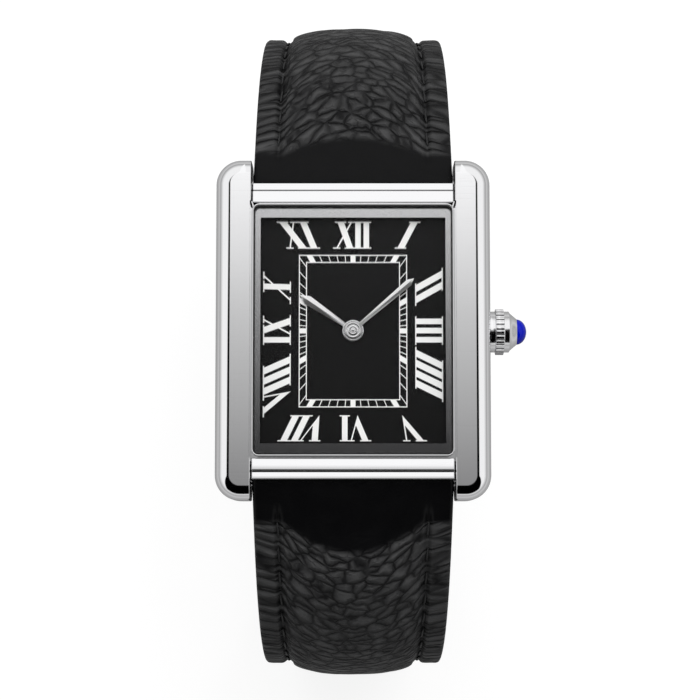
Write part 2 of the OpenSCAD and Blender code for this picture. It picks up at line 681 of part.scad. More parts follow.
module centre_wheel() color([0.8, 0.8, 0.82]) {
    translate([0, 0, bridge_z0 + slip]) cylinder(r = pivot_r, h = 1);
    translate([0, 0, bridge_z1 + slip]) cylinder(r = arbor_r, h = minute_hand_z + hand_t + 0.05 - bridge_z1);
    gear(80, centre_m, 1.76, 1.9, 0);
}
module intermediate_wheel() color([0.85, 0.7, 0.35]) translate([inter_x, inter_y, 0]) {
    translate([0, 0, bridge_z0 + slip]) cylinder(r = pivot_r, h = plate_z0 + 0.3 - bridge_z0);
    gear(72, rotor_m, 1.4, 1.52, 0);
    gear(8, centre_m, 1.5, 1.95, mesh_turn(0, 80, 8, inter_dir));
}
module rotor() color([0.5, 0.5, 0.55]) translate([rotor_x, rotor_y, 0]) {
    translate([0, 0, bridge_z0 + slip]) cylinder(r = pivot_r, h = plate_z0 + 0.3 - bridge_z0);
    gear(8, rotor_m, 1.3, 1.6, mesh_turn(0, 72, 8, rotor_dir));
    translate([0, 0, 1.6]) cylinder(r = magnet_r, h = 0.4);
}
module stator() color([0.6, 0.62, 0.65]) difference() {
    translate([coil_x0 - 1.2, stator_y0, stator_z0])
        cube([coil_x1 - coil_x0 + 2.4, stator_y1 - stator_y0, stator_t]);
    translate([rotor_x, rotor_y, stator_z0 - 1]) cylinder(r = magnet_r + 0.12, h = 3);
    translate([inter_x, inter_y, stator_z0 - 1]) cylinder(r = 0.5, h = 3);
    bridge_pillars(run);
}
core_z0 = stator_z0 + stator_t;
core_t = 0.16;
module coil_core() color([0.6, 0.62, 0.65]) difference() {
    translate([0, 0, core_z0]) linear_extrude(core_t) {
        translate([coil_x0 - 1.2, coil_y - 0.45]) square([coil_x1 - coil_x0 + 2.4, 0.9]);
        for (x = [coil_x0 - 1.2, coil_x1 + 0.2]) translate([x, stator_y1 - 0.8])
            square([1, coil_y - stator_y1 + 0.8]);
    }
    bridge_pillars(run);
}
module coil_winding() color([0.75, 0.4, 0.2]) difference() {
    translate([0, coil_y, coil_z]) rod_x(coil_r, coil_x0, coil_x1);
    translate([coil_x0 - 1, coil_y - 0.45, core_z0]) cube([coil_x1 - coil_x0 + 2, 0.9, core_t]);
}

// Plate, bridge and electrics

module main_plate() color([0.72, 0.7, 0.62]) difference() {
    union() {
        slab(plate_w, plate_len, plate_z0, plate_z1);
        for (p = [[board_x0 + 0.7, board_y1 - 0.7], [board_x0 + 0.7, can_y0 + 0.2]])
            translate([p[0], p[1], board_z0 + board_t]) cylinder(r = pillar_r, h = 1);
        translate([minute_x, minute_y, plate_z1 - eps]) cylinder(r = pivot_r, h = hour_z1 - plate_z1);
        translate([setting_x, minute_y, plate_z1 - eps]) cylinder(r = pivot_r, h = wheel_z1 - plate_z1);
    }
    translate([0, 0, plate_z0 - 1]) cylinder(r = arbor_r + slip, h = 3);
    translate([inter_x, inter_y, plate_z0 - 1]) cylinder(r = pivot_r + slip, h = 3);
    translate([rotor_x, rotor_y, plate_z0 - 1]) cylinder(r = pivot_r + slip, h = 3);
    translate([battery_x, battery_y, plate_z0 - 1]) cylinder(r = battery_r + run, h = 3);
    for (p = feet_at) translate([p[0], p[1], plate_z0 - 1]) cylinder(r = foot_r + slip, h = 3);
    for (p = bridge_screws_at) translate([p[0], p[1], plate_z0 - 1]) cylinder(r = 0.2, h = 1.4);
    translate([clutch_x0 - 0.9, -clutch_r - 0.1, plate_z0 - 1]) cube([plate_w, 2 * clutch_r + 0.2, 3]);
    translate([coil_x0 - 0.1, coil_y - coil_r - 0.1, plate_z0 - 1])
        cube([coil_x1 - coil_x0 + 0.2, 2 * coil_r + 0.2, 3]);
    translate([can_x - can_r - 0.1, can_y0 - 0.1, plate_z0 - 1])
        cube([2 * can_r + 0.2, can_len + 0.2, 3]);
    translate([groove_x, lever_arm, plate_z0 - 1]) cylinder(r = arbor_r + slip, h = 3);
}
// The two pillars that carry the bridge, grown by the room given
module bridge_pillars(room) for (p = bridge_screws_at) translate([p[0], p[1], bridge_z0])
    cylinder(r = pillar_r + room, h = plate_z0 - bridge_z0);
module train_bridge() color([0.72, 0.7, 0.62]) difference() {
    union() {
        translate([-5.2, -1.25, bridge_z0]) cube([8.3, inter_y + 1.8 + 1.25, bridge_z1 - bridge_z0]);
        bridge_pillars(0);
    }
    for (p = [[0, 0], [inter_x, inter_y], [rotor_x, rotor_y]]) translate([p[0], p[1], bridge_z0 - 1])
        cylinder(r = pivot_r + slip, h = 3);
    for (p = bridge_screws_at) translate([p[0], p[1], bridge_z0 - 1]) cylinder(r = 0.2, h = 3);
}
module bridge_screws() color([0.7, 0.7, 0.75]) for (p = bridge_screws_at) translate([p[0], p[1], 0]) {
    translate([0, 0, bridge_z0 - 0.09]) cylinder(r = 0.36, h = 0.09);
    translate([0, 0, bridge_z0 - eps]) cylinder(r = 0.19, h = plate_z0 + 0.38 - bridge_z0);
}
module circuit_board() color([0.1, 0.3, 0.15]) translate([board_x0, can_y0 - 0.3, board_z0])
    cube([plate_w / 2 - board_x0 - 0.1, board_y1 - can_y0 + 0.3, board_t]);
module quartz_can() color([0.8, 0.8, 0.82]) translate([can_x, can_y0, can_z]) rotate([-90, 0, 0])
    cylinder(r = can_r, h = can_len);
module battery() color([0.8, 0.8, 0.82]) translate([battery_x, battery_y, battery_z0]) {
    cylinder(r = battery_r, h = battery_t - 0.3);
    cylinder(r = battery_r - 0.5, h = battery_t);
}
module battery_clamp() color([0.7, 0.65, 0.5])
    translate([battery_x - battery_r, battery_y - 0.6, boss_z + slip])
        cube([board_x0 - battery_x + battery_r - 0.2, 1.2, battery_z0 - boss_z - 2 * slip]);
module movement_holder() color([0.85, 0.85, 0.82]) difference() {
    slab(cavity_w - 0.1, cavity_len - 0.1, boss_z + 0.05, dial_z0);
    slab(plate_w + 0.1, plate_len + 0.1, 0, case_h);
    translate([clutch_x0 - 0.9, -1.2, stem_z - 0.6])
        cube([cavity_w / 2 - clutch_x0 + 1, 1.2 + lever_arm + 0.7, 3]);
}

// Case back

module case_back() color([0.7, 0.71, 0.73]) difference() {
    union() {
        linear_extrude(back_t) round_rect(2 * back_half_x, 2 * back_half_y, 1.5);
        slab(cavity_w - 0.1, cavity_len - 0.1, back_t - eps, boss_z);
    }
    four_corners(screw_x, screw_y) translate([0, 0, -1]) {
        cylinder(r = screw_r, h = 3);
        cylinder(r = screw_r + 0.3, h = 1.25);
    }
}
module case_back_gasket() color([0.1, 0.1, 0.1]) translate([0, 0, back_t]) linear_extrude(0.33) difference() {
    round_rect(cavity_w + 0.76, cavity_len + 0.76, 0.38);
    square([cavity_w + 0.04, cavity_len + 0.04], center = true);
}
module case_back_screws() color([0.7, 0.71, 0.73]) four_corners(screw_x, screw_y) difference() {
    union() {
        translate([0, 0, 0.02]) cylinder(r = screw_r + 0.28, h = 0.23);
        translate([0, 0, 0.2]) cylinder(r = screw_r - slip, h = 2);
    }
    translate([-1, -0.09, -1]) cube([2, 0.18, 1.12]);
}

// Crown and stem

module turned_x(points) rotate([0, 90, 0]) rotate_extrude() polygon(points);
module crown() color([0.78, 0.79, 0.81]) translate([0, 0, stem_z]) difference() {
    turned_x([[0, crown_x0], [base_r, crown_x0], [base_r, base_x], [base_r - 0.1, knurl_x0],
        [crown_r, knurl_x0], [crown_r, knurl_x1], [base_r, knurl_x1 + 0.06], [base_r, ring_x],
        [cabochon_r + 0.6, ring_x + 0.1], [cabochon_r + 0.03, cone_x], [0, cone_x]]);
    rod_x(socket_r, crown_x0 - 1, socket_x);
    rod_x(stem_r, crown_x0 - 1, socket_x + 0.5);
    rod_x(cabochon_r - 0.3, cone_x - 0.4, cone_x + 1);
    for (i = [0:knurls - 1]) rotate([360 / knurls * i, 0, 0]) translate([0, 0, crown_r + 0.04])
        rod_x(0.15, knurl_x0 - eps, knurl_x1 + 0.1);
}
module crown_cabochon() color([0.02, 0.08, 0.6]) translate([0, 0, stem_z]) turned_x(concat(
    [[0, cone_x - 0.38], [cabochon_r - 0.32, cone_x - 0.38], [cabochon_r - 0.32, cone_x]],
    [for (a = [0:10:90]) [cabochon_r * cos(a), cone_x + cabochon_h * sin(a)]]));
module crown_gasket() color([0.1, 0.1, 0.1]) translate([crown_x0 + 0.05, 0, stem_z]) rotate([0, 90, 0])
    difference() {
        cylinder(r = socket_r, h = gasket_len);
        translate([0, 0, -1]) cylinder(r = tube_r + run, h = 3);
    }
module crown_tube() color([0.7, 0.71, 0.73]) translate([0, 0, stem_z]) difference() {
    rod_x(tube_r, cavity_w / 2, tube_x1);
    rod_x(stem_r + run, 0, tube_x1 + 1);
}
module stem() color([0.6, 0.6, 0.63]) translate([0, 0, stem_z]) difference() {
    union() {
        rod_x(stem_r, clutch_x0 + clutch_len + 0.18, socket_x + 0.5);
        translate([clutch_x0 - 0.6, -square_w / 2, -square_w / 2])
            cube([clutch_len + 0.8, square_w, square_w]);
    }
    difference() {
        rod_x(1, groove_x - groove_w / 2, groove_x + groove_w / 2);
        rod_x(groove_r, groove_x - 1, groove_x + 1);
    }
}
module clutch_pinion() color([0.6, 0.6, 0.63]) translate([clutch_x0, 0, stem_z]) difference() {
    rotate([0, 90, 0]) linear_extrude(clutch_len) gear_shape(14, 2 * clutch_r / 15.4);
    translate([-1, -square_w / 2 - 0.03, -square_w / 2 - 0.03]) cube([3, square_w + 0.06, square_w + 0.06]);
}
module setting_lever() color([0.6, 0.6, 0.63]) translate([groove_x, lever_arm, 0]) {
    translate([0, 0, plate_z0 + 0.1]) cylinder(r = arbor_r, h = lever_z0 - plate_z0);
    translate([0, 0, lever_z0]) linear_extrude(lever_t) {
        circle(0.5);
        translate([-0.25, -lever_arm]) square([0.5, lever_arm]);
        translate([0, -lever_arm]) circle(0.25);
        translate([-0.2, 0]) square([0.4, 1.2]);
    }
    translate([0, -lever_arm, stem_z + groove_r + 0.03]) cylinder(r = 0.18, h = lever_z0 - stem_z - groove_r);
}

// Spring bars at the case

sleeve_half = gap_half - 0.85;
plug_in = sleeve_half - 1.9;
module at_lugs() for (j = [-1, 1]) translate([0, j * lug_y, lug_z]) children();
module bar_sleeve(r, half) difference() {
    rod_x(r, -half, half);
    rod_x(r - 0.18, -half - 1, half + 1);
}
module bar_tips(r, half, plug, tip_r, tip_to) for (i = [0, 1]) mirror([i, 0, 0]) {
    rod_x(r - 0.2, plug, half);
    rod_x(r - 0.06, half, half + 0.2);
    rod_x(tip_r, half + 0.19, tip_to);
}
module spring_bar_sleeves() color([0.7, 0.71, 0.73]) at_lugs() bar_sleeve(bar_r, sleeve_half);
module spring_bar_tips() color([0.7, 0.71, 0.73]) at_lugs()
    bar_tips(bar_r, sleeve_half, plug_in, 0.4, rail_out - 1.65);
module spring_bar_springs() color([0.6, 0.6, 0.63]) at_lugs() difference() {
    rod_x(bar_r - 0.2, -plug_in, plug_in);
    rod_x(bar_r - 0.38, -plug_in - 1, plug_in + 1);
}

// Strap halves

module strap_12_leather() color([0.05, 0.05, 0.05]) difference() {
    union() {
        strap_leather(strap_len_12, drop_12, false, pad_end_12);
        translate([0, lug_y, lug_z]) rod_x(lug_loop_r, -strap_w / 2 + loop_step, strap_w / 2 - loop_step);
        on_strap(strap_len_12, drop_12) rod_x(buckle_loop_r, -tip_w / 2 + loop_step, tip_w / 2 - loop_step);
    }
    translate([0, lug_y, lug_z]) rod_x(loop_bore_r, -strap_w, strap_w);
    on_strap(strap_len_12, drop_12) {
        rod_x(pin_r + 0.07, -strap_w, strap_w);
        translate([-tang_slot_half, -2.6, -4]) cube([2 * tang_slot_half, 6, 8]);
    }
}
module strap_12_padding() color([0.2, 0.2, 0.2]) strap_padding(strap_len_12, drop_12, false, pad_end_12);
module strap_12_lining() color([0.12, 0.12, 0.12]) strap_lining(strap_len_12, drop_12, false);
module strap_6_leather() color([0.05, 0.05, 0.05]) mirror([0, 1, 0]) difference() {
    union() {
        strap_leather(strap_len_6, drop_6, true, pad_end_6);
        translate([0, lug_y, lug_z]) rod_x(lug_loop_r, -strap_w / 2 + loop_step, strap_w / 2 - loop_step);
    }
    translate([0, lug_y, lug_z]) rod_x(loop_bore_r, -strap_w, strap_w);
    tail_hole_tools();
}
module strap_6_padding() color([0.2, 0.2, 0.2]) mirror([0, 1, 0])
    strap_padding(strap_len_6, drop_6, true, pad_end_6);
module strap_6_lining() color([0.12, 0.12, 0.12]) mirror([0, 1, 0]) difference() {
    strap_lining(strap_len_6, drop_6, true);
    tail_hole_tools();
}
module tail_hole_tools() for (i = [0:tail_holes - 1]) on_strap(first_hole_s - i * hole_pitch, drop_6)
    translate([0, 0, -3]) cylinder(r = hole_r, h = 6);

// Keepers: leather loops that also leave room for the tail outside the strap

keeper_out = edge_n + lining_t + leather_t + 0.4;
keeper_half = tip_w / 2 + 0.55;
module keeper(s, grip) on_strap(s, drop_12) rotate([-90, 0, 0]) linear_extrude(keeper_w) difference() {
    translate([0, -(keeper_out + under_n - grip) / 2])
        round_rect(2 * (keeper_half + keeper_t), keeper_out - under_n + grip + 2 * keeper_t, 1.2);
    translate([0, -(keeper_out + under_n - grip) / 2])
        round_rect(2 * keeper_half, keeper_out - under_n + grip, 0.4);
}
module fixed_keeper() color([0.05, 0.05, 0.05]) keeper(fixed_keeper_s, 0);
module free_keeper() color([0.05, 0.05, 0.05]) keeper(free_keeper_s, 0.15);

// Buckle

module buckle_frame() color([0.78, 0.79, 0.81]) on_strap(strap_len_12, drop_12) difference() {
    translate([0, 0, -buckle_t / 2]) linear_extrude(buckle_t) difference() {
        translate([0, (buckle_len - ear_len) / 2]) round_rect(2 * arm_out, buckle_len + ear_len, 1);
        translate([-arm_in, -buckle_len]) square([2 * arm_in, 1.5 * buckle_len]);
        translate([0, buckle_len / 2 - buckle_wire]) round_rect(2 * arm_in, buckle_len, 0.5);
    }
    rod_x(0.35, -arm_out + 0.35, arm_out - 0.35);
}
module buckle_bar() color([0.7, 0.71, 0.73]) on_strap(strap_len_12, drop_12)
    bar_sleeve(pin_r, arm_in - 0.5);
module buckle_bar_tips() color([0.7, 0.71, 0.73]) on_strap(strap_len_12, drop_12)
    bar_tips(pin_r, arm_in - 0.5, arm_in - 2.2, 0.3, arm_out - 0.45);
module buckle_tang() color([0.78, 0.79, 0.81]) on_strap(strap_len_12, drop_12) difference() {
    union() {
        rod_x(pin_r + 0.5, -tang_w / 2, tang_w / 2);
        rotate([90, 0, 90]) linear_extrude(tang_w, center = true) polygon([
            [pin_r + 0.2, 0.1], [0.1, pin_r + 0.2], [buckle_len - 3, tang_lift + 0.75],
            [buckle_len - 0.3, tang_lift + 0.75], [buckle_len + 0.15, tang_lift + 0.35],
            [buckle_len, tang_lift], [buckle_len - 2.6, tang_lift]]);
    }
    rod_x(pin_r + run, -2, 2);
}

case_body();
bezel();
crystal();
crystal_gasket();
dial_flange();
dial();
dial_print();
hour_hand();
minute_hand();
cannon_pinion();
hour_wheel();
minute_wheel();
setting_wheel();
centre_wheel();
intermediate_wheel();
rotor();
stator();
coil_core();
coil_winding();
main_plate();
train_bridge();
bridge_screws();
circuit_board();
quartz_can();
battery();
battery_clamp();
movement_holder();
case_back();
case_back_gasket();
case_back_screws();
crown();
crown_cabochon();
crown_gasket();
crown_tube();
stem();
clutch_pinion();
setting_lever();
spring_bar_sleeves();
spring_bar_tips();
spring_bar_springs();
strap_12_leather();
strap_12_padding();
strap_12_lining();
fixed_keeper();
free_keeper();
buckle_frame();
buckle_bar();
buckle_bar_tips();
buckle_tang();
strap_6_leather();
strap_6_padding();
strap_6_lining();
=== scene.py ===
# Rectangular wristwatch on a padded leather strap, dial up and unbuckled.
# Shapes are worked out in millimetres and scaled to metres when a piece is finished.
import json
import math
import bmesh
import bpy
from mathutils import Matrix, Vector, noise


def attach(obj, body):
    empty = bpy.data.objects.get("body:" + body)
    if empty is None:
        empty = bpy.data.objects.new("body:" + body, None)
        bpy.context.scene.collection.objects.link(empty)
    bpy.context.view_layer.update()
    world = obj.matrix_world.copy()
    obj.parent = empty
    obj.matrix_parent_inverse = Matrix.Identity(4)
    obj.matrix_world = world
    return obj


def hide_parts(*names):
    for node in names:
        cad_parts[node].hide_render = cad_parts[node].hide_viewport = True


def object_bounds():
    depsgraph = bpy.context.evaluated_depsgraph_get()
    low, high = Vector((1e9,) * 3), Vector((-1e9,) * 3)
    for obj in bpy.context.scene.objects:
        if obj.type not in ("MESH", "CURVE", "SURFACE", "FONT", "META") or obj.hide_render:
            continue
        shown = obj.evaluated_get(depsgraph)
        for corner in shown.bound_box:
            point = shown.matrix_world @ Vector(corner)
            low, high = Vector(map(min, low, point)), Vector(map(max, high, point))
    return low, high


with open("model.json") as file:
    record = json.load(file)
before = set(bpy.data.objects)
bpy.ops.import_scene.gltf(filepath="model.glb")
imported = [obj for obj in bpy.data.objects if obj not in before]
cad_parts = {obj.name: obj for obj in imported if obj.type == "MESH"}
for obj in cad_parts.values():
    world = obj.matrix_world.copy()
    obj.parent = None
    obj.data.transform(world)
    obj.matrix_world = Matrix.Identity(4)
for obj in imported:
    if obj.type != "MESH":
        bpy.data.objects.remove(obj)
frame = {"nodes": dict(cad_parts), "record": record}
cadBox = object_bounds()
cadNodes = frame["nodes"]
mm = 0.001
scene = bpy.context.scene
scene.view_settings.view_transform = "Standard"
print("frame loaded,", len(cadNodes), "nodes")

# Camera

cameraPlace = {"distance": 214.64, "aimHeight": 4.0, "tilt": 5.55, "lens": 110.93,
               "shift": (-0.0043, -0.0277)}


def addCamera(place):
    tilt = math.radians(place["tilt"])
    lens = bpy.data.cameras.new("viewCamera")
    lens.sensor_width = 36
    lens.lens = place["lens"]
    lens.shift_x, lens.shift_y = place["shift"]
    lens.clip_start, lens.clip_end = 0.01, 20
    camera = bpy.data.objects.new("viewCamera", lens)
    camera.location = (0, -math.sin(tilt) * place["distance"] * mm,
                       (math.cos(tilt) * place["distance"] + place["aimHeight"]) * mm)
    camera.rotation_euler = (tilt, 0, 0)
    scene.collection.objects.link(camera)
    scene.camera = camera


addCamera(cameraPlace)


# Small helpers for node trees

def addNode(tree, kind, inputs=None, **settings):
    node = tree.nodes.new(kind)
    for name, value in settings.items():
        setattr(node, name, value)
    for socket, value in (inputs or {}).items():
        if isinstance(value, bpy.types.NodeSocket):
            tree.links.new(value, node.inputs[socket])
        else:
            node.inputs[socket].default_value = value
    return node


def calc(tree, operation, *values):
    return addNode(tree, "ShaderNodeMath", dict(enumerate(values)), operation=operation).outputs[0]


def vectorCalc(tree, operation, first, second):
    # the second is a vector, or a plain factor where the first is scaled
    inputs = {0: first, "Scale" if operation == "SCALE" else 1: second}
    return addNode(tree, "ShaderNodeVectorMath", inputs, operation=operation).outputs[0]


def noiseOutputs(tree, place, scale, detail):
    inputs = {"Vector": place, "Scale": scale, "Detail": detail}
    return addNode(tree, "ShaderNodeTexNoise", inputs).outputs


def rampValue(tree, factor, stops):
    ramp = addNode(tree, "ShaderNodeValToRGB", {"Fac": factor})
    points = ramp.color_ramp.elements
    while len(points) < len(stops):
        points.new(0.5)
    for point, (place, value) in zip(points, stops):
        point.position = place
        point.color = (value, value, value, 1)
    return ramp.outputs["Color"]


def mapValue(tree, value, low, high, toLow=0.0, toHigh=1.0, kind="LINEAR"):
    inputs = {"Value": value, "From Min": low, "From Max": high, "To Min": toLow, "To Max": toHigh}
    return addNode(tree, "ShaderNodeMapRange", inputs, interpolation_type=kind).outputs["Result"]


def mixColour(tree, factor, low, high):
    # low and high are colours or the outputs of other nodes
    ends = [end if isinstance(end, bpy.types.NodeSocket) else (*end, 1) for end in (low, high)]
    inputs = {"Factor": factor, "A": ends[0], "B": ends[1]}
    return addNode(tree, "ShaderNodeMix", inputs, data_type="RGBA").outputs["Result"]


# Light: a bright tent all round, open towards the camera overhead

studio = {
    # the tent's edge in degrees from overhead, from the 6 o'clock side round to the 12 o'clock side
    "openEdge": [(0.0, 70), (0.15, 68), (0.5, 24), (0.85, 19), (0.95, 15), (1.0, 11)],
    # and between which two angles its light falls, and from what level to what
    "edgeBlur": 3, "sideFade": (58, 92, 1.0, 0.4),
    # a narrow strip of light over the case, in degrees along and across it
    "stripAlong": (-4, 10), "stripAcross": (5, 8), "stripLevel": 1.1,
    "strip": [(0, 0), (0.404, 0.264), (0.543, 0.409), (0.721, 0.582), (0.836, 0.755), (1, 1)],
    # what lights the surfaces from the tent, and the share of it from the opening
    "fill": 0.85, "openFill": 0.3,
    "lampPower": 1.9, "lampSize": (0.5, 0.35), "lampPlace": (0.05, 0.22, 0.42),
}


def addStudio(light):
    world = bpy.data.worlds.new("studio")
    scene.world = world
    world.use_nodes = True
    tree = world.node_tree
    background = tree.nodes["Background"]
    way = addNode(tree, "ShaderNodeTexCoord").outputs["Generated"]
    x, y, z = addNode(tree, "ShaderNodeSeparateXYZ", {0: way}).outputs
    degrees = 180 / math.pi
    fromTop = calc(tree, "MULTIPLY", calc(tree, "ARCCOSINE", z), degrees)
    flat = calc(tree, "SQRT", calc(tree, "ADD", calc(tree, "MULTIPLY", x, x),
                                   calc(tree, "MULTIPLY", y, y)))
    towards = calc(tree, "DIVIDE", y, calc(tree, "MAXIMUM", flat, 0.0001))
    share = calc(tree, "MULTIPLY_ADD", towards, 0.5, 0.5)
    edge = rampValue(tree, share, [(place, angle / 90) for place, angle in light["openEdge"]])
    edge = calc(tree, "MULTIPLY", edge, 90)
    tent = mapValue(tree, fromTop, calc(tree, "SUBTRACT", edge, light["edgeBlur"]),
                    calc(tree, "ADD", edge, light["edgeBlur"]), kind="SMOOTHSTEP")
    along = calc(tree, "MULTIPLY", calc(tree, "ARCTAN2", y, z), degrees)
    across = calc(tree, "MULTIPLY", calc(tree, "ARCTAN2", x, z), degrees)
    strip = rampValue(tree, mapValue(tree, along, *light["stripAlong"]), light["strip"])
    inStrip = mapValue(tree, calc(tree, "ABSOLUTE", across), *light["stripAcross"], 1.0, 0.0,
                       "SMOOTHSTEP")
    stripGlow = calc(tree, "MULTIPLY", calc(tree, "MULTIPLY", strip, inStrip), light["stripLevel"])
    sideLevel = mapValue(tree, fromTop, *light["sideFade"], "SMOOTHSTEP")
    glossy = calc(tree, "MAXIMUM", calc(tree, "MULTIPLY", tent, sideLevel), stripGlow)
    fill = mapValue(tree, tent, 0.0, 1.0, light["openFill"] * light["fill"], light["fill"])
    # mirrored and seen through, the studio itself; for all other rays, the even fill
    rays = addNode(tree, "ShaderNodeLightPath").outputs
    mirrored = calc(tree, "MAXIMUM", rays["Is Glossy Ray"], rays["Is Transmission Ray"])
    level = calc(tree, "MULTIPLY_ADD", calc(tree, "SUBTRACT", glossy, fill), mirrored, fill)
    level = calc(tree, "MAXIMUM", level, rays["Is Camera Ray"])
    tree.links.new(level, background.inputs["Color"])
    lamp = bpy.data.lights.new("softLamp", "AREA")
    lamp.shape = "RECTANGLE"
    lamp.size, lamp.size_y = light["lampSize"]
    lamp.energy = light["lampPower"]
    lampObject = bpy.data.objects.new("softLamp", lamp)
    lampObject.location = light["lampPlace"]
    lampObject.rotation_euler = (-Vector(light["lampPlace"])).to_track_quat("-Z", "Y").to_euler()
    lampObject.visible_glossy = False
    lampObject.visible_transmission = False
    lampObject.visible_camera = False
    scene.collection.objects.link(lampObject)


floorLook = {"radius": 3, "drop": 0.0002, "base": 0.25, "roughness": 0.9, "glow": 0.8,
             "mirrorFrom": (0.03, 0.25), "mirrorLevel": (0.06, 0.45)}


def addFloor(settings):
    shape = bmesh.new()
    bmesh.ops.create_circle(shape, cap_ends=True, radius=settings["radius"], segments=96)
    bmesh.ops.translate(shape, vec=(0, 0, cadBox[0][2] - settings["drop"]), verts=shape.verts)
    mesh = bpy.data.meshes.new("floor")
    shape.to_mesh(mesh)
    shape.free()
    floor = bpy.data.objects.new("floor", mesh)
    scene.collection.objects.link(floor)
    material = bpy.data.materials.new("paleFloor")
    material.use_nodes = True
    tree = material.node_tree
    shader = tree.nodes["Principled BSDF"]
    shader.inputs["Base Color"].default_value = (*[settings["base"]] * 3, 1)
    shader.inputs["Roughness"].default_value = settings["roughness"]
    shader.inputs["Specular IOR Level"].default_value = 0
    shader.inputs["Emission Color"].default_value = (1, 1, 1, 1)
    # seen as it is by the camera and through glass; in a mirror it glows dimmer near the watch, a
    # painted shade under the watch
    rays = addNode(tree, "ShaderNodeLightPath").outputs
    place = addNode(tree, "ShaderNodeTexCoord").outputs["Object"]
    away = addNode(tree, "ShaderNodeVectorMath", {0: place}, operation="LENGTH").outputs["Value"]
    mirrored = calc(tree, "MULTIPLY", rays["Is Glossy Ray"],
                    mapValue(tree, away, *settings["mirrorFrom"], *settings["mirrorLevel"]))
    seen = calc(tree, "MAXIMUM", rays["Is Camera Ray"],
                calc(tree, "MAXIMUM", mirrored, rays["Is Transmission Ray"]))
    glow = calc(tree, "MULTIPLY", seen, settings["glow"])
    tree.links.new(glow, shader.inputs["Emission Strength"])
    mesh.materials.append(material)


addStudio(studio)
addFloor(floorLook)
print("camera and light placed")


# Effects shared by several finishes

def startGroup(name, inputs, outputs):
    group = bpy.data.node_groups.new(name, "ShaderNodeTree")
    for label, kind, value in inputs:
        socket = group.interface.new_socket(name=label, in_out="INPUT", socket_type=kind)
        if value is not None:
            socket.default_value = value
    for label, kind in outputs:
        group.interface.new_socket(name=label, in_out="OUTPUT", socket_type=kind)
    given = group.nodes.new("NodeGroupInput").outputs
    result = group.nodes.new("NodeGroupOutput").inputs
    return group, given, result


def handlingWear():
    # hairline scratches in three directions over broad smudges
    group, given, result = startGroup(
        "handlingWear",
        [("Place", "NodeSocketVector", None), ("Roughness", "NodeSocketFloat", 0.1),
         ("Smudge", "NodeSocketFloat", 0.05), ("Scratch", "NodeSocketFloat", 0.5)],
        [("Roughness", "NodeSocketFloat"), ("Height", "NodeSocketFloat")])
    smudge = noiseOutputs(group, given["Place"], 0.35, 3.0)["Fac"]
    lines = None
    for turn, scale in ((20, 3.0), (75, 2.4), (140, 3.4)):
        turned = addNode(group, "ShaderNodeMapping",
                         {"Vector": given["Place"], "Rotation": (0.3, 0.2, math.radians(turn)),
                          "Scale": (0.05 * scale, 2.2 * scale, scale)})
        hair = noiseOutputs(group, turned.outputs[0], 1.0, 1.0)["Fac"]
        scratch = mapValue(group, hair, 0.66, 0.74)
        lines = scratch if lines is None else calc(group, "MAXIMUM", lines, scratch)
    marks = calc(group, "MULTIPLY", lines, given["Scratch"])
    rough = calc(group, "MULTIPLY_ADD", calc(group, "SUBTRACT", smudge, 0.4),
                 given["Smudge"], given["Roughness"])
    rough = calc(group, "MULTIPLY_ADD", marks, 0.08, rough)
    group.links.new(calc(group, "MAXIMUM", rough, 0.02), result["Roughness"])
    group.links.new(calc(group, "MULTIPLY", marks, -1.0), result["Height"])
    return group


def brushLines():
    # fine parallel lines along one axis
    group, given, result = startGroup(
        "brushLines",
        [("Place", "NodeSocketVector", None), ("Stretch", "NodeSocketVector", (0.15, 9.0, 9.0)),
         ("Roughness", "NodeSocketFloat", 0.3)],
        [("Roughness", "NodeSocketFloat"), ("Height", "NodeSocketFloat"),
         ("Tone", "NodeSocketFloat")])
    scaled = vectorCalc(group, "MULTIPLY", given["Place"], given["Stretch"])
    line = noiseOutputs(group, scaled, 1.0, 4.0)["Fac"]
    rough = calc(group, "MULTIPLY_ADD", line, 0.16,
                 calc(group, "SUBTRACT", given["Roughness"], 0.08))
    group.links.new(line, result["Height"])
    group.links.new(rough, result["Roughness"])
    group.links.new(mapValue(group, line, 0.2, 0.8, 0.85, 1.0), result["Tone"])
    return group


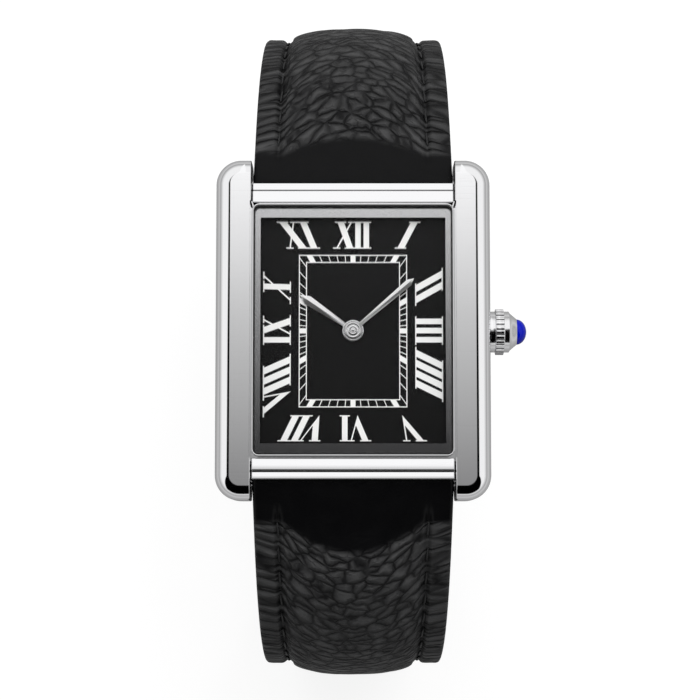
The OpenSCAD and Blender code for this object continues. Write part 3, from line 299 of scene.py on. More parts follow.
def leatherGrain():
    # rounded pebbles with a net of fine creases between them, and pores
    group, given, result = startGroup(
        "leatherGrain",
        [("Place", "NodeSocketVector", None), ("Pebble", "NodeSocketVector", (0.5, 0.98, 1.0)),
         ("Warp", "NodeSocketFloat", 0.9)],
        [("Height", "NodeSocketFloat"), ("Crease", "NodeSocketFloat"),
         ("Cloud", "NodeSocketFloat")])
    bend = noiseOutputs(group, given["Place"], 0.5, 2.0)
    shift = vectorCalc(group, "SUBTRACT", bend["Color"], (0.5, 0.5, 0.5))
    moved = vectorCalc(group, "ADD", given["Place"],
                       vectorCalc(group, "SCALE", shift, given["Warp"]))
    scaled = vectorCalc(group, "MULTIPLY", moved, given["Pebble"])
    pebble, small = [
        addNode(group, "ShaderNodeTexVoronoi",
                {"Vector": scaled, "Scale": scale, "Randomness": randomness},
                feature="DISTANCE_TO_EDGE").outputs["Distance"]
        for scale, randomness in ((1.0, 0.85), (2.1, 1.0))]
    fade = noiseOutputs(group, given["Place"], 0.8, 2.0)["Fac"]
    pore = noiseOutputs(group, given["Place"], 6.0, 4.0)["Fac"]
    dome = mapValue(group, pebble, 0.0, 0.36, 0.0, 1.0, "SMOOTHSTEP")
    line = calc(group, "MULTIPLY", mapValue(group, pebble, 0.0, 0.11, 1.0, 0.0, "SMOOTHSTEP"),
                mapValue(group, fade, 0.35, 0.55, 0.25, 1.0))
    wrinkle = calc(group, "MULTIPLY", mapValue(group, small, 0.0, 0.16, 1.0, 0.0, "SMOOTHSTEP"),
                   mapValue(group, fade, 0.5, 0.62, 0.0, 0.45))
    crease = calc(group, "MAXIMUM", line, wrinkle)
    height = calc(group, "MULTIPLY_ADD", crease, -0.35, calc(group, "MULTIPLY", dome, 0.8))
    height = calc(group, "MULTIPLY_ADD", pore, 0.12, height)
    group.links.new(height, result["Height"])
    group.links.new(crease, result["Crease"])
    group.links.new(bend["Fac"], result["Cloud"])
    return group


wearGroup = handlingWear()
brushGroup = brushLines()
grainGroup = leatherGrain()


# Finishes: their patterns are laid out in millimetres on each piece's own coordinates

def startFinish(name, colour, settings):
    material = bpy.data.materials.new(name)
    material.use_nodes = True
    tree = material.node_tree
    shader = tree.nodes["Principled BSDF"]
    shader.inputs["Base Color"].default_value = (*colour, 1)
    for socket, value in settings.items():
        shader.inputs[socket].default_value = value
    place = addNode(tree, "ShaderNodeTexCoord").outputs["Object"]
    return material, tree, shader, vectorCalc(tree, "SCALE", place, 1 / mm)


def addBump(tree, shader, height, strength, distance):
    inputs = {"Height": height, "Strength": strength, "Distance": distance * mm}
    bump = addNode(tree, "ShaderNodeBump", inputs)
    tree.links.new(bump.outputs["Normal"], shader.inputs["Normal"])


def polished(name, colour, roughness=0.05, smudge=0.03, scratch=0.5, metallic=1.0, specular=0.5):
    # metal, or the stone in the crown where metallic is 0
    material, tree, shader, place = startFinish(
        name, colour, {"Metallic": metallic, "Specular IOR Level": specular})
    wear = addNode(tree, "ShaderNodeGroup",
                   {"Place": place, "Roughness": roughness, "Smudge": smudge, "Scratch": scratch},
                   node_tree=wearGroup)
    tree.links.new(wear.outputs["Roughness"], shader.inputs["Roughness"])
    addBump(tree, shader, wear.outputs["Height"], 0.15, 0.002)
    return material


def brushed(name, colour, roughness=0.3, stretch=(0.15, 9.0, 9.0), bump=0.25, paintedShade=None):
    # the optional painted shade: a darker colour, and the span along Y over which it turns to the
    # plain one
    material, tree, shader, place = startFinish(name, colour, {"Metallic": 1.0})
    lines = addNode(tree, "ShaderNodeGroup",
                    {"Place": place, "Stretch": stretch, "Roughness": roughness},
                    node_tree=brushGroup)
    tint = mixColour(tree, lines.outputs["Tone"], [c * 0.7 for c in colour], colour)
    if paintedShade:
        # painted shade: the colour fades to the darker one along Y, standing in for how the light
        # falls off
        height = addNode(tree, "ShaderNodeSeparateXYZ", {0: place}).outputs["Y"]
        tint = mixColour(tree, mapValue(tree, height, *paintedShade["span"]), paintedShade["low"], tint)
    tree.links.new(tint, shader.inputs["Base Color"])
    tree.links.new(lines.outputs["Roughness"], shader.inputs["Roughness"])
    addBump(tree, shader, lines.outputs["Height"], bump, 0.004)
    return material


def speckled(name, colour, dark, settings, scale=1.2, roughness=(0.4, 0.6), bump=(0.2, 0.01)):
    # plain moulded, printed or lacquered surfaces with a faint mottle
    material, tree, shader, place = startFinish(name, colour, settings)
    mottle = noiseOutputs(tree, place, scale, 4.0)["Fac"]
    tree.links.new(mixColour(tree, mottle, dark, colour), shader.inputs["Base Color"])
    tree.links.new(mapValue(tree, mottle, 0.3, 0.7, *roughness), shader.inputs["Roughness"])
    addBump(tree, shader, noiseOutputs(tree, place, scale * 9, 2.0)["Fac"], *bump)
    return material


def clearCrystal():
    material, tree, shader, place = startFinish("mineralCrystal", (1, 1, 1), {
        "Transmission Weight": 1.0, "IOR": 1.5, "Roughness": 0.0, "Alpha": 0.12,
        "Specular IOR Level": 0.3})
    haze = noiseOutputs(tree, place, 0.5, 2.0)["Fac"]
    tree.links.new(mapValue(tree, haze, 0.4, 0.8, 0.0, 0.0025), shader.inputs["Roughness"])
    return material


# pebble is the colour of the painted light on the pebble tops; hollow is the painted shade in the
# creases, which is also the smooth leather's colour
leatherLook = {"specular": 0.13, "pebble": (0.06, 0.06, 0.061), "hollow": (0.0025, 0.0025, 0.0028),
               "creaseShadeAmount": 0.85, "roughness": (0.36, 0.5), "bump": (1.0, 0.3),
               "smoothShine": -0.06, "smoothHeight": 0.04, "plainPebble": (0.9, 0.9, 0.9)}


def strapLeather(name, followsStrap):
    # on the strap the grain runs along its path and leaves the leather smooth by the case
    look = leatherLook
    material, tree, shader, place = startFinish(name, (0.02, 0.02, 0.021), {
        "Specular IOR Level": look["specular"], "IOR": 1.45})
    grain = addNode(tree, "ShaderNodeGroup", node_tree=grainGroup)
    if followsStrap:
        place = addNode(tree, "ShaderNodeAttribute", attribute_name="strapPlace").outputs["Vector"]
    else:
        grain.inputs["Pebble"].default_value = look["plainPebble"]
    tree.links.new(place, grain.inputs["Place"])
    # painted shade and light: the creases are darkened and the pebble tops lightened in the colour,
    # over the random tone of the cloud noise
    paintedCreaseShade = calc(tree, "SUBTRACT", 1.0,
                 calc(tree, "MULTIPLY", grain.outputs["Crease"], look["creaseShadeAmount"]))
    paintedTopLight = mapValue(tree, grain.outputs["Height"], 0.0, 0.95, 0.35, 1.0)
    clouded = mapValue(tree, grain.outputs["Cloud"], 0.3, 0.7, 0.72, 1.0)
    toneWithPaintedLight = calc(tree, "MULTIPLY", calc(tree, "MULTIPLY", paintedCreaseShade, paintedTopLight), clouded)
    rough = mapValue(tree, grain.outputs["Cloud"], 0.3, 0.7, *look["roughness"])
    height = grain.outputs["Height"]
    if followsStrap:
        mask = addNode(tree, "ShaderNodeAttribute", attribute_name="grainMask").outputs["Fac"]
        toneWithPaintedLight = calc(tree, "MULTIPLY", toneWithPaintedLight, mask)
        rough = calc(tree, "MULTIPLY_ADD", calc(tree, "SUBTRACT", 1.0, mask),
                     look["smoothShine"], rough)
        share = calc(tree, "MULTIPLY_ADD", mask, 1 - look["smoothHeight"], look["smoothHeight"])
        height = calc(tree, "MULTIPLY", height, share)
    tree.links.new(mixColour(tree, toneWithPaintedLight, look["hollow"], look["pebble"]),
                   shader.inputs["Base Color"])
    tree.links.new(rough, shader.inputs["Roughness"])
    addBump(tree, shader, height, *look["bump"])
    return material


def suedeLining():
    material, tree, shader, place = startFinish("suedeLining", (0.03, 0.03, 0.031), {
        "Specular IOR Level": 0.2, "Sheen Weight": 0.25, "Sheen Roughness": 0.5})
    nap = noiseOutputs(tree, place, 5.0, 6.0)["Fac"]
    tree.links.new(mixColour(tree, nap, (0.012, 0.012, 0.013), (0.045, 0.044, 0.043)),
                   shader.inputs["Base Color"])
    tree.links.new(mapValue(tree, nap, 0.3, 0.7, 0.75, 0.95), shader.inputs["Roughness"])
    addBump(tree, shader, nap, 0.5, 0.06)
    return material


def waxedThread():
    material, tree, shader, place = startFinish("waxedThread", (0.02, 0.02, 0.021), {
        "Specular IOR Level": 0.5})
    strand = addNode(tree, "ShaderNodeTexWave", {"Vector": place, "Scale": 2.6, "Distortion": 1.5},
                     bands_direction="DIAGONAL").outputs["Fac"]
    tree.links.new(mixColour(tree, strand, (0.004, 0.004, 0.0045), (0.014, 0.014, 0.0145)),
                   shader.inputs["Base Color"])
    tree.links.new(mapValue(tree, strand, 0.0, 1.0, 0.6, 0.4), shader.inputs["Roughness"])
    addBump(tree, shader, strand, 0.5, 0.05)
    return material


# satin grey with painted shade, darker towards the foot of the dial
shadedFlangeLook = {"high": (0.62, 0.62, 0.63), "low": (0.11, 0.11, 0.113), "span": (-12.0, 12.0),
              "roughness": 0.14}

finishes = {
    "polished_steel": polished("mirrorSteel", (0.86, 0.86, 0.87)),
    "brushed_steel": brushed("brushedSteel", (0.66, 0.66, 0.67), 0.3, (9.0, 0.2, 9.0)),
    "crystal": clearCrystal(),
    "seal": speckled("rubberSeal", (0.02, 0.02, 0.02), (0.012, 0.012, 0.012),
                     {"Specular IOR Level": 0.3}, 2.0, (0.55, 0.75)),
    "flange_grey": brushed("satinFlange", shadedFlangeLook["high"], shadedFlangeLook["roughness"],
                           (6.0, 6.0, 6.0), 0.1, shadedFlangeLook),
    "dial_black": speckled("mattDial", (0.005, 0.005, 0.0053), (0.004, 0.004, 0.004),
                           {"Specular IOR Level": 0.12}, 0.6, (0.6, 0.75), (0.05, 0.004)),
    "print_white": speckled("printedWhite", (0.95, 0.95, 0.94), (0.91, 0.91, 0.9),
                            {"Specular IOR Level": 0.3}, 1.5, (0.45, 0.6), (0.08, 0.004)),
    "brass": brushed("gildedBrass", (0.78, 0.56, 0.24), 0.28, (5.0, 5.0, 0.4), 0.1),
    "plastic_ivory": speckled("mouldedPlastic", (0.72, 0.69, 0.6), (0.62, 0.6, 0.52), {}, 0.8,
                              (0.35, 0.5)),
    "board_green": speckled("boardGreen", (0.02, 0.12, 0.05), (0.012, 0.07, 0.03),
                            {"Coat Weight": 0.4}, 2.5, (0.3, 0.45)),
    "copper": brushed("enamelledCopper", (0.72, 0.33, 0.14), 0.25, (14.0, 0.5, 0.5), 0.5),
    "iron_grey": brushed("softIron", (0.34, 0.35, 0.37), 0.4, (1.0, 7.0, 7.0), 0.15),
    "cabochon_blue": polished("blueCabochon", (0.0, 0.006, 0.4), 0.1, 0.03, 0.3, 0.0, 0.2),
    "strap_black": strapLeather("plainLeather", False),
    "lining_black": suedeLining(),
    "padding": speckled("feltPadding", (0.2, 0.19, 0.18), (0.1, 0.1, 0.1), {}, 3.0, (0.8, 0.95),
                        (0.6, 0.1)),
}
grainedLeather = strapLeather("grainedLeather", True)
threadFinish = waxedThread()
satinHands = polished("satinHands", (0.92, 0.92, 0.92), 0.31, 0.05, 0.3)
crownSteel = polished("crownSteel", (0.88, 0.88, 0.89), 0.13, 0.03, 0.3)
nodeSlots = {part["node"]: part["material_slot"] for part in frame["record"]["subparts"]}
for nodeName, nodeObject in cadNodes.items():
    nodeObject.data.materials.clear()
    nodeObject.data.materials.append(finishes[nodeSlots[nodeName]])
print("finishes made")


# Helpers for pieces

mergeGap = 0.0005


def addBox(shape, matrix, size):
    bmesh.ops.create_cube(shape, size=1, matrix=matrix @ Matrix.Diagonal((*size, 1)))


def addRod(shape, matrix, radius, length, segments=48):
    # a cylinder along the matrix's Z, with its middle at the matrix's place
    bmesh.ops.create_cone(shape, cap_ends=True, segments=segments, radius1=radius, radius2=radius,
                          depth=length, matrix=matrix)


def isSharp(edge, angle):
    return edge.calc_face_angle(0) > math.radians(angle)


def breakEdges(shape, edges, width, steps, clamp=True):
    bmesh.ops.bevel(shape, geom=edges, offset=width, offset_type="OFFSET", segments=steps,
                    profile=0.5, affect="EDGES", clamp_overlap=clamp, material=-1)


def makePiece(name, shape, material, body, stands=(), smoothAngle=32, weighted=True):
    # stands names the CAD nodes that the piece is shown in place of
    bmesh.ops.scale(shape, vec=(mm, mm, mm), verts=shape.verts)
    mesh = bpy.data.meshes.new(name)
    shape.to_mesh(mesh)
    shape.free()
    mesh.materials.append(material)
    mesh.shade_smooth()
    mesh.set_sharp_from_angle(angle=math.radians(smoothAngle))
    piece = bpy.data.objects.new(name, mesh)
    scene.collection.objects.link(piece)
    if weighted:
        modifier = piece.modifiers.new("evenNormals", "WEIGHTED_NORMAL")
        modifier.keep_sharp = True
        modifier.weight = 80
    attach(piece, body)
    if stands:
        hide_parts(*stands)
    return piece


def cadCopy(nodeName):
    shape = bmesh.new()
    shape.from_mesh(cadNodes[nodeName].data)
    bmesh.ops.scale(shape, vec=(1 / mm, 1 / mm, 1 / mm), verts=shape.verts)
    bmesh.ops.remove_doubles(shape, verts=shape.verts, dist=mergeGap)
    bmesh.ops.dissolve_limit(shape, angle_limit=math.radians(0.4), verts=shape.verts,
                             edges=shape.edges)
    return shape


def dressNode(nodeName, body, width, steps=2, angle=30, material=None):
    # the CAD node's own shape with its sharp edges broken
    shape = cadCopy(nodeName)
    breakEdges(shape, [edge for edge in shape.edges if isSharp(edge, angle)], width, steps)
    return makePiece(nodeName + "_finished", shape, material or finishes[nodeSlots[nodeName]],
                     body, [nodeName])


def cutFrom(piece, cutter, operation="DIFFERENCE"):
    # takes the cutter's shapes out of the piece for good, or keeps what lies inside them
    mesh = bpy.data.meshes.new("cutter")
    bmesh.ops.recalc_face_normals(cutter, faces=cutter.faces)
    bmesh.ops.scale(cutter, vec=(mm, mm, mm), verts=cutter.verts)
    cutter.to_mesh(mesh)
    cutter.free()
    tool = bpy.data.objects.new("cutter", mesh)
    scene.collection.objects.link(tool)
    modifier = piece.modifiers.new("holes", "BOOLEAN")
    modifier.operation, modifier.solver, modifier.object = operation, "EXACT", tool
    graph = bpy.context.evaluated_depsgraph_get()
    cutMesh = bpy.data.meshes.new_from_object(piece.evaluated_get(graph))
    piece.modifiers.remove(modifier)
    oldMesh, piece.data = piece.data, cutMesh
    cutMesh.name = piece.name
    bpy.data.meshes.remove(oldMesh)
    bpy.data.objects.remove(tool)
    bpy.data.meshes.remove(mesh)


# Case: two side rails, the end bars with their lips, and the frame between them

caseShape = {
    "gapHalf": 10.1, "railOut": 13.6, "railHalf": 16.9, "low": 0.5, "top": 6.6, "round": 1.5,
    "corner": 2.5, "arcSteps": 14, "cornerSteps": 20, "sharp": 40, "edge": 0.08,
    # radius and start of the bores for the crown and its tube, and the opening for the bezel
    "crownAxis": 2.45, "boreTo": 16.0, "bores": [(2.45, 13.35), (0.95, 9.0)],
    "ledge": 4.1, "wall": 13.0, "recessX": 10.2, "recessY": 12.7, "recessDeep": 4.0, "inset": 0.01,
}
barShape = {"half": 10.0, "from": 12.7, "to": 13.9, "low": 3.85, "top": 5.1, "rise": 0.015,
            "tilt": 4.5, "steps": 10, "sharp": 40, "edge": 0.08}
lipShape = barShape | {"from": 14.02, "to": 14.75, "low": 3.95, "top": 4.6, "rise": 0.01}


def railRing(form, inset, z):
    # outline of one rail at a height, drawn in from its outer side and ends
    cornerX = form["railOut"] - form["corner"]
    cornerY = form["railHalf"] - form["corner"]
    radius = form["corner"] - inset
    points = [(form["gapHalf"], -cornerY - radius, z)]
    for k in range(form["cornerSteps"] + 1):
        a = -math.pi / 2 + math.pi / 2 * k / form["cornerSteps"]
        points.append((cornerX + radius * math.cos(a), -cornerY + radius * math.sin(a), z))
    return points + [(x, -y, z) for x, y, z in reversed(points)]


def railLevels(form):
    # inset and height, from the flat underside round to the flat top
    r, steps = form["round"], form["arcSteps"]
    turn = [math.pi / 2 * k / steps for k in range(steps + 1)]
    lower = [(r - r * math.sin(a), form["low"] + r - r * math.cos(a)) for a in turn]
    return lower + [(inset, form["low"] + form["top"] - z) for inset, z in reversed(lower)]


def railShape(form, side):
    shape = bmesh.new()
    loops = []
    for inset, z in railLevels(form):
        ring = [shape.verts.new((side * x, y, height)) for x, y, height in railRing(form, inset, z)]
        loops.append([shape.edges.new(pair) for pair in zip(ring, ring[1:] + ring[:1])])
    for low, high in zip(loops, loops[1:]):
        bmesh.ops.bridge_loops(shape, edges=low + high)
    for loop in (loops[0], loops[-1]):
        bmesh.ops.contextual_create(shape, geom=loop)
    bmesh.ops.recalc_face_normals(shape, faces=shape.faces)
    # the edges towards the dial are the only sharp ones
    inner = [edge for edge in shape.edges if isSharp(edge, form["sharp"])
             and all(abs(abs(vert.co.x) - form["gapHalf"]) < 1e-6 for vert in edge.verts)]
    breakEdges(shape, inner, form["edge"], 3, False)
    return shape


def barPiece(shape, form, side):
    # a bar across the case with a slightly convex top
    mid, deep = (form["from"] + form["to"]) / 2, (form["to"] - form["from"]) / 2
    steps = form["steps"]
    lean = -side * deep * math.tan(math.radians(form["tilt"]))
    crown = [(mid + deep * u, form["top"] - form["rise"] * u * u + lean * u)
             for u in (1 - 2 * k / steps for k in range(steps + 1))]
    outline = crown + [(form["from"], form["low"]), (form["to"], form["low"])]
    start = shape.faces.new([shape.verts.new((-form["half"], side * y, z)) for y, z in outline])
    grown = bmesh.ops.extrude_face_region(shape, geom=[start], use_keep_orig=True)["geom"]
    far = [item for item in grown if isinstance(item, bmesh.types.BMVert)]
    bmesh.ops.translate(shape, vec=(2 * form["half"], 0, 0), verts=far)
    faces = list({face for vert in list(start.verts) + far for face in vert.link_faces})
    bmesh.ops.recalc_face_normals(shape, faces=faces)
    edges = {edge for face in faces for edge in face.edges}
    sharp = sorted((edge for edge in edges if isSharp(edge, form["sharp"])),
                   key=lambda edge: edge.index)
    breakEdges(shape, sharp, form["edge"], 4)


caseSteel = finishes["polished_steel"]
rails = bmesh.new()
for side in (-1, 1):
    rail = railShape(caseShape, side)
    railMesh = bpy.data.meshes.new("rail")
    rail.to_mesh(railMesh)
    rail.free()
    rails.from_mesh(railMesh)
    bpy.data.meshes.remove(railMesh)
sideRails = makePiece("side_rails", rails, caseSteel, "case", ["case_body"])
recess = bmesh.new()
towardsCrown = Matrix.Rotation(math.pi / 2, 4, "Y")
crownPlace = Matrix.Translation((0, 0, caseShape["crownAxis"])) @ towardsCrown
for radius, start in caseShape["bores"]:
    end = caseShape["boreTo"]
    middle = crownPlace @ Matrix.Translation((0, 0, (end + start) / 2))
    addRod(recess, middle, radius, end - start, 96)
addBox(recess, Matrix.Translation((0, 0, caseShape["ledge"] + caseShape["recessDeep"] / 2)),
       (2 * caseShape["recessX"], 2 * caseShape["recessY"], caseShape["recessDeep"]))
cutFrom(sideRails, recess)
bars = bmesh.new()
for side in (-1, 1):
    barPiece(bars, barShape, side)
    barPiece(bars, lipShape, side)
makePiece("end_bars", bars, caseSteel, "case", ["case_body"])
middleFrame = makePiece("middle_frame", cadCopy("case_body"), caseSteel, "case",
                        ["case_body"])
inside = bmesh.new()
insideX, insideY = [caseShape[name] - caseShape["inset"] for name in ("gapHalf", "wall")]
addBox(inside, Matrix.Translation((0, 0, caseShape["ledge"] / 2)),
       (2 * insideX, 2 * insideY, caseShape["ledge"]))
cutFrom(middleFrame, inside, "INTERSECT")
# width and steps of the round on each piece's edges
edgeBreaks = {"bezel": (0.09, 5), "crystal": (0.04, 2), "case_back": (0.08, 2),
              "case_back_screws": (0.04, 2), "crown": (0.04, 3), "crown_cabochon": (0.02, 2)}
for nodeName, (width, steps) in edgeBreaks.items():
    dressNode(nodeName, "crown" if nodeName.startswith("crown") else "case", width, steps,
              material=crownSteel if nodeName == "crown" else None)
print("case, bezel and crown finished")


# Hands, with the turned ring or cap on each one's hub, as radius and height over the hand

hubRings = {
    "hour_hand": [(0.8, -0.05), (1.05, -0.05), (1.05, 0.0), (1.03, 0.02), (0.99, 0.03),
                  (0.9, 0.03), (0.85, 0.015), (0.83, -0.02)],
    "minute_hand": [(0.0, -0.05), (0.8, -0.05), (0.8, 0.0), (0.78, 0.03), (0.73, 0.05),
                    (0.66, 0.05), (0.6, 0.03), (0.57, -0.01), (0.54, 0.03), (0.49, 0.07),
                    (0.4, 0.09), (0.32, 0.08), (0.28, 0.03), (0.24, 0.03), (0.2, 0.06),
                    (0.1, 0.08), (0.0, 0.085)],
}


def turnedShape(profile, lift, segments=72):
    # a profile that starts off the axis is closed into a ring
    shape = bmesh.new()
    verts = [shape.verts.new((r, 0, lift + z)) for r, z in profile]
    edges = [shape.edges.new(pair) for pair in zip(verts, verts[1:])]
    if profile[0][0] > 0:
        edges.append(shape.edges.new((verts[-1], verts[0])))
    bmesh.ops.spin(shape, geom=verts + edges, cent=(0, 0, 0), axis=(0, 0, 1), dvec=(0, 0, 0),
                   angle=2 * math.pi, steps=segments, use_merge=True)
    bmesh.ops.remove_doubles(shape, verts=shape.verts, dist=mergeGap)
    bmesh.ops.recalc_face_normals(shape, faces=shape.faces)
    return shape


def nodeCorners(nodeName):
    # the lowest and highest corner of the CAD node's box
    places = [vert.co * (1 / mm) for vert in cadNodes[nodeName].data.vertices]
    return (Vector([min(place[k] for place in places) for k in range(3)]),
            Vector([max(place[k] for place in places) for k in range(3)]))


for nodeName, profile in hubRings.items():
    dressNode(nodeName, nodeName, 0.02, 2, 50, satinHands)
    makePiece(nodeName + "_hub", turnedShape(profile, nodeCorners(nodeName)[1].z), crownSteel,
              nodeName, (), 40)
dressNode("cannon_pinion", "minute_hand", 0.03, 3, 60)
print("hands finished")


# Coil of the movement, turned with a ridge for each turn of its wire

winding = {"wire": 0.15, "segments": 40, "ridgeSteps": 4, "ridgeFrom": 0.06, "ridgeSpan": 0.88,
           "cheekShare": 0.4, "coreWide": 0.9, "corePast": 0.5}


def windingShape(form, low, high):
    middle, radius, wire = (low + high) / 2, (high.z - low.z) / 2, form["wire"]
    turns = round((high.x - low.x) / wire)
    pitch = (high.x - low.x) / turns
    cheek = radius * form["cheekShare"]
    profile = [(0, low.x), (cheek, low.x)]
    for turn in range(turns):
        for k in range(form["ridgeSteps"] + 1):
            a = math.pi * (form["ridgeFrom"] + form["ridgeSpan"] * k / form["ridgeSteps"])
            profile.append((radius - wire / 2 + wire / 2 * math.sin(a),
                            low.x + pitch * (turn + 0.5 - 0.5 * math.cos(a))))
    profile += [(cheek, high.x), (0, high.x)]
    shape = turnedShape(profile, 0, form["segments"])
    lay = Matrix.Translation((0, middle.y, middle.z)) @ Matrix.Rotation(math.pi / 2, 4, "Y")
    bmesh.ops.transform(shape, matrix=lay, verts=shape.verts)
    return shape


coilLow, coilHigh = nodeCorners("coil_winding")
coreLow, coreHigh = nodeCorners("coil_core")
coil = makePiece("wound_coil", windingShape(winding, coilLow, coilHigh), finishes["copper"], "case",
                 ["coil_winding"], 40, False)
coreSlot = bmesh.new()
coreMiddle = (coilLow + coilHigh) / 2
coreMiddle.z = (coreLow.z + coreHigh.z) / 2
coreLong = coilHigh.x - coilLow.x + 2 * winding["corePast"]
addBox(coreSlot, Matrix.Translation(coreMiddle),
       (coreLong, winding["coreWide"], coreHigh.z - coreLow.z))
cutFrom(coil, coreSlot)
print("coil wound")


# Strap: the path of its middle line, with the same numbers as the solids

strapShape = {
    "startSlope": math.radians(12), "lead": 2.0, "upperBend": 19.6, "lowerBend": 16.0,
    "lugY": 15.0, "lugZ": 2.0, "wideHalf": 10.0, "narrowHalf": 8.0, "narrowAt": 75.0,
    "under": -1.2, "edge": 1.4, "edgeRound": 0.45, "weld": 0.002,
    "lining": 0.7, "liningFrom": 3.0, "liningFade": 0.3,
    # the round ends over the spring bar and the buckle bar, with their bores and the tang's slot
    "noseR": 1.75, "buckleLoop": 1.45, "loopLength": 4.5, "loopFade": 5.0, "loopGap": 0.03,
    "loopSteps": 8, "barWall": 0.93, "buckleBore": 0.67, "boreLength": 24, "slot": (2.4, 6.0, 8.0),
    "slotPast": 0.4, "tipLength": 7.0, "tipPoint": 0.93,
    # padding under the leather, and the groove that its stitches lie in
    "padHeight": 1.25, "padEdge": 2.9, "padFrom": 3.6, "padRise": 6.0, "padFade": 14.0,
    "grooveAt": 2.4, "grooveHalf": 0.34, "grooveDepth": 0.5, "grooveFrom": 1, "grooveRise": 3,
    "grooveStop": 6, "grooveFade": 2,
}
buckleHalf = {"name": "strap_12", "length": 75.0, "drop": 1.0, "padEnd": 52.0, "isTail": False,
              "side": 1, "grainFrom": 2.3, "grainArch": 1.7, "liningStop": 3.4, "stitchStop": 6.0}
tailHalf = {"name": "strap_6", "length": 115.0, "drop": 19.0, "padEnd": 64.0, "isTail": True,
            "side": -1, "grainFrom": 3.3, "grainArch": 2.8, "liningStop": 1.2, "stitchStop": 8.5}


def ease(t):
    u = max(0.0, min(1.0, t))
    return u * u * (3 - 2 * u)


def blendTo(a, b, t):
    return a + (b - a) * t


def strapAt(s, drop):
    # middle line as (y, z, heading)
    form = strapShape
    slope, upper, lower = form["startSlope"], form["upperBend"], form["lowerBend"]
    y1 = form["lugY"] + form["lead"] * math.cos(slope)
    z1 = form["lugZ"] - form["lead"] * math.sin(slope)
    s2 = form["lead"] + upper * (math.pi / 2 - slope)
    y2 = y1 + upper * (1 - math.sin(slope))
    z2 = z1 - upper * math.cos(slope)
    arc = lower * math.pi / 2
    if s <= form["lead"]:
        return form["lugY"] + s * math.cos(slope), form["lugZ"] - s * math.sin(slope), slope
    if s <= s2:
        a = slope + (s - form["lead"]) / upper
        return (y1 + upper * (math.sin(a) - math.sin(slope)),
                z1 - upper * (math.cos(slope) - math.cos(a)), a)
    if s <= s2 + drop:
        return y2, z2 - (s - s2), math.pi / 2
    if s <= s2 + drop + arc:
        a = math.pi / 2 + (s - s2 - drop) / lower
        return y2 - lower * (1 - math.sin(a)), z2 - drop + lower * math.cos(a), a
    return y2 - lower - (s - s2 - drop - arc), z2 - drop - lower, math.pi


def strapPoint(half, s, x, n):
    # s along the strap, x across it and n out from its middle line
    y, z, a = strapAt(s, half["drop"])
    return Vector((x, half["side"] * (y + n * math.sin(a)), z + n * math.cos(a)))


def strapMatrix(half, s):
    # X across, Y along the strap, Z outwards
    y, z, a = strapAt(s, half["drop"])
    turn = Matrix.Translation((0, y, z)) @ Matrix.Rotation(-a, 4, "X")
    return Matrix.Diagonal((1, half["side"], 1, 1)) @ turn


def halfWidth(half, s):
    form = strapShape
    width = blendTo(form["wideHalf"], form["narrowHalf"], min(1.0, max(0.0, s) / form["narrowAt"]))
    if half["isTail"]:
        u = max(0.0, (s - half["length"] + form["tipLength"]) / form["tipLength"])
        width *= math.sqrt(1 - form["tipPoint"] * min(1.0, u) ** 2)
    return width


def padHalf(half, s):
    width = halfWidth(half, s)
    return max(width - strapShape["padEdge"], width / 2)


def crownHeight(half, s):
    form = strapShape
    return (form["padHeight"] * ease((s - form["padFrom"]) / form["padRise"])
            * (1 - ease((s - half["padEnd"] + form["padFade"]) / form["padFade"])))


def endShare(half, s):
    # how far the buckle half has drawn in to the loop round the buckle bar
    fade = strapShape["loopFade"]
    return 0.0 if half["isTail"] else ease((s - half["length"] + fade) / fade)


def topEdge(half, s):
    form = strapShape
    near = blendTo(form["edge"], form["noseR"] - form["loopGap"], 1 - ease(s / form["loopLength"]))
    return blendTo(near, form["buckleLoop"] - form["loopGap"], endShare(half, s))


def underSide(half, s):
    form = strapShape
    near = blendTo(form["under"], form["loopGap"] - form["noseR"], 1 - ease(s / form["loopLength"]))
    return blendTo(near, form["loopGap"] - form["buckleLoop"], endShare(half, s))


def liningEnd(half):
    return half["length"] - half["liningStop"]


# Grain of the leather: heights in mm, and waves to the mm across and along with each one's shift

grainShape = {
    "archHalf": 7.0, "fade": 0.9, "bow": 0.06, "ribSqueeze": 0.3, "seed": 3.1, "patternAt": 4.0,
    "uneven": 0.03, "pebble": 0.12, "pucker": 0.02, "wrinkle": 0.13, "wrinklePitch": 1.7,
    "wrinkleDrift": 0.9,
    "waves": {"uneven": (0.35, 0.22, 0), "drift": (0.3, 0.35, 5), "small": (0.7, 2.2, 8),
              "strength": (0.2, 0.5, 12), "swell": (0.45, 0.8, 9), "broad": (0.3, 0.5, 14),
              "pucker": (2.2, 0.25, 1)},
}


def grainMaskAt(half, s, x):
    # the smooth zone by the case ends in an arch
    arch = max(0.0, 1 - (x / grainShape["archHalf"]) ** 2)
    return ease((s - half["grainFrom"] - half["grainArch"] * arch) / grainShape["fade"])


def grainWave(name, x, along, seed=0):
    across, onward, shift = grainShape["waves"][name]
    return noise.noise(Vector((x * across, along * onward, shift + seed)))


# columns of the cover: distances in from each edge, closer at the rim and at the groove, and
# between them shares of the padding's half width
edgeSteps = [0, 0.05, 0.14, 0.27, 0.45, 0.65, 0.88, 1.12, 1.36, 1.6, 1.8, 1.96, 2.08, 2.18, 2.27,
             2.36, 2.45, 2.54, 2.63, 2.72, 2.81, 2.9]
padSteps = 64
padShares = [0.55 * (2 * k / padSteps - 1) + 0.45 * math.sin(math.pi / 2 * (2 * k / padSteps - 1))
             for k in range(1, padSteps)]
columns = ([(-1, d, None) for d in edgeSteps] + [(0, None, share) for share in padShares]
           + [(1, d, None) for d in reversed(edgeSteps)])


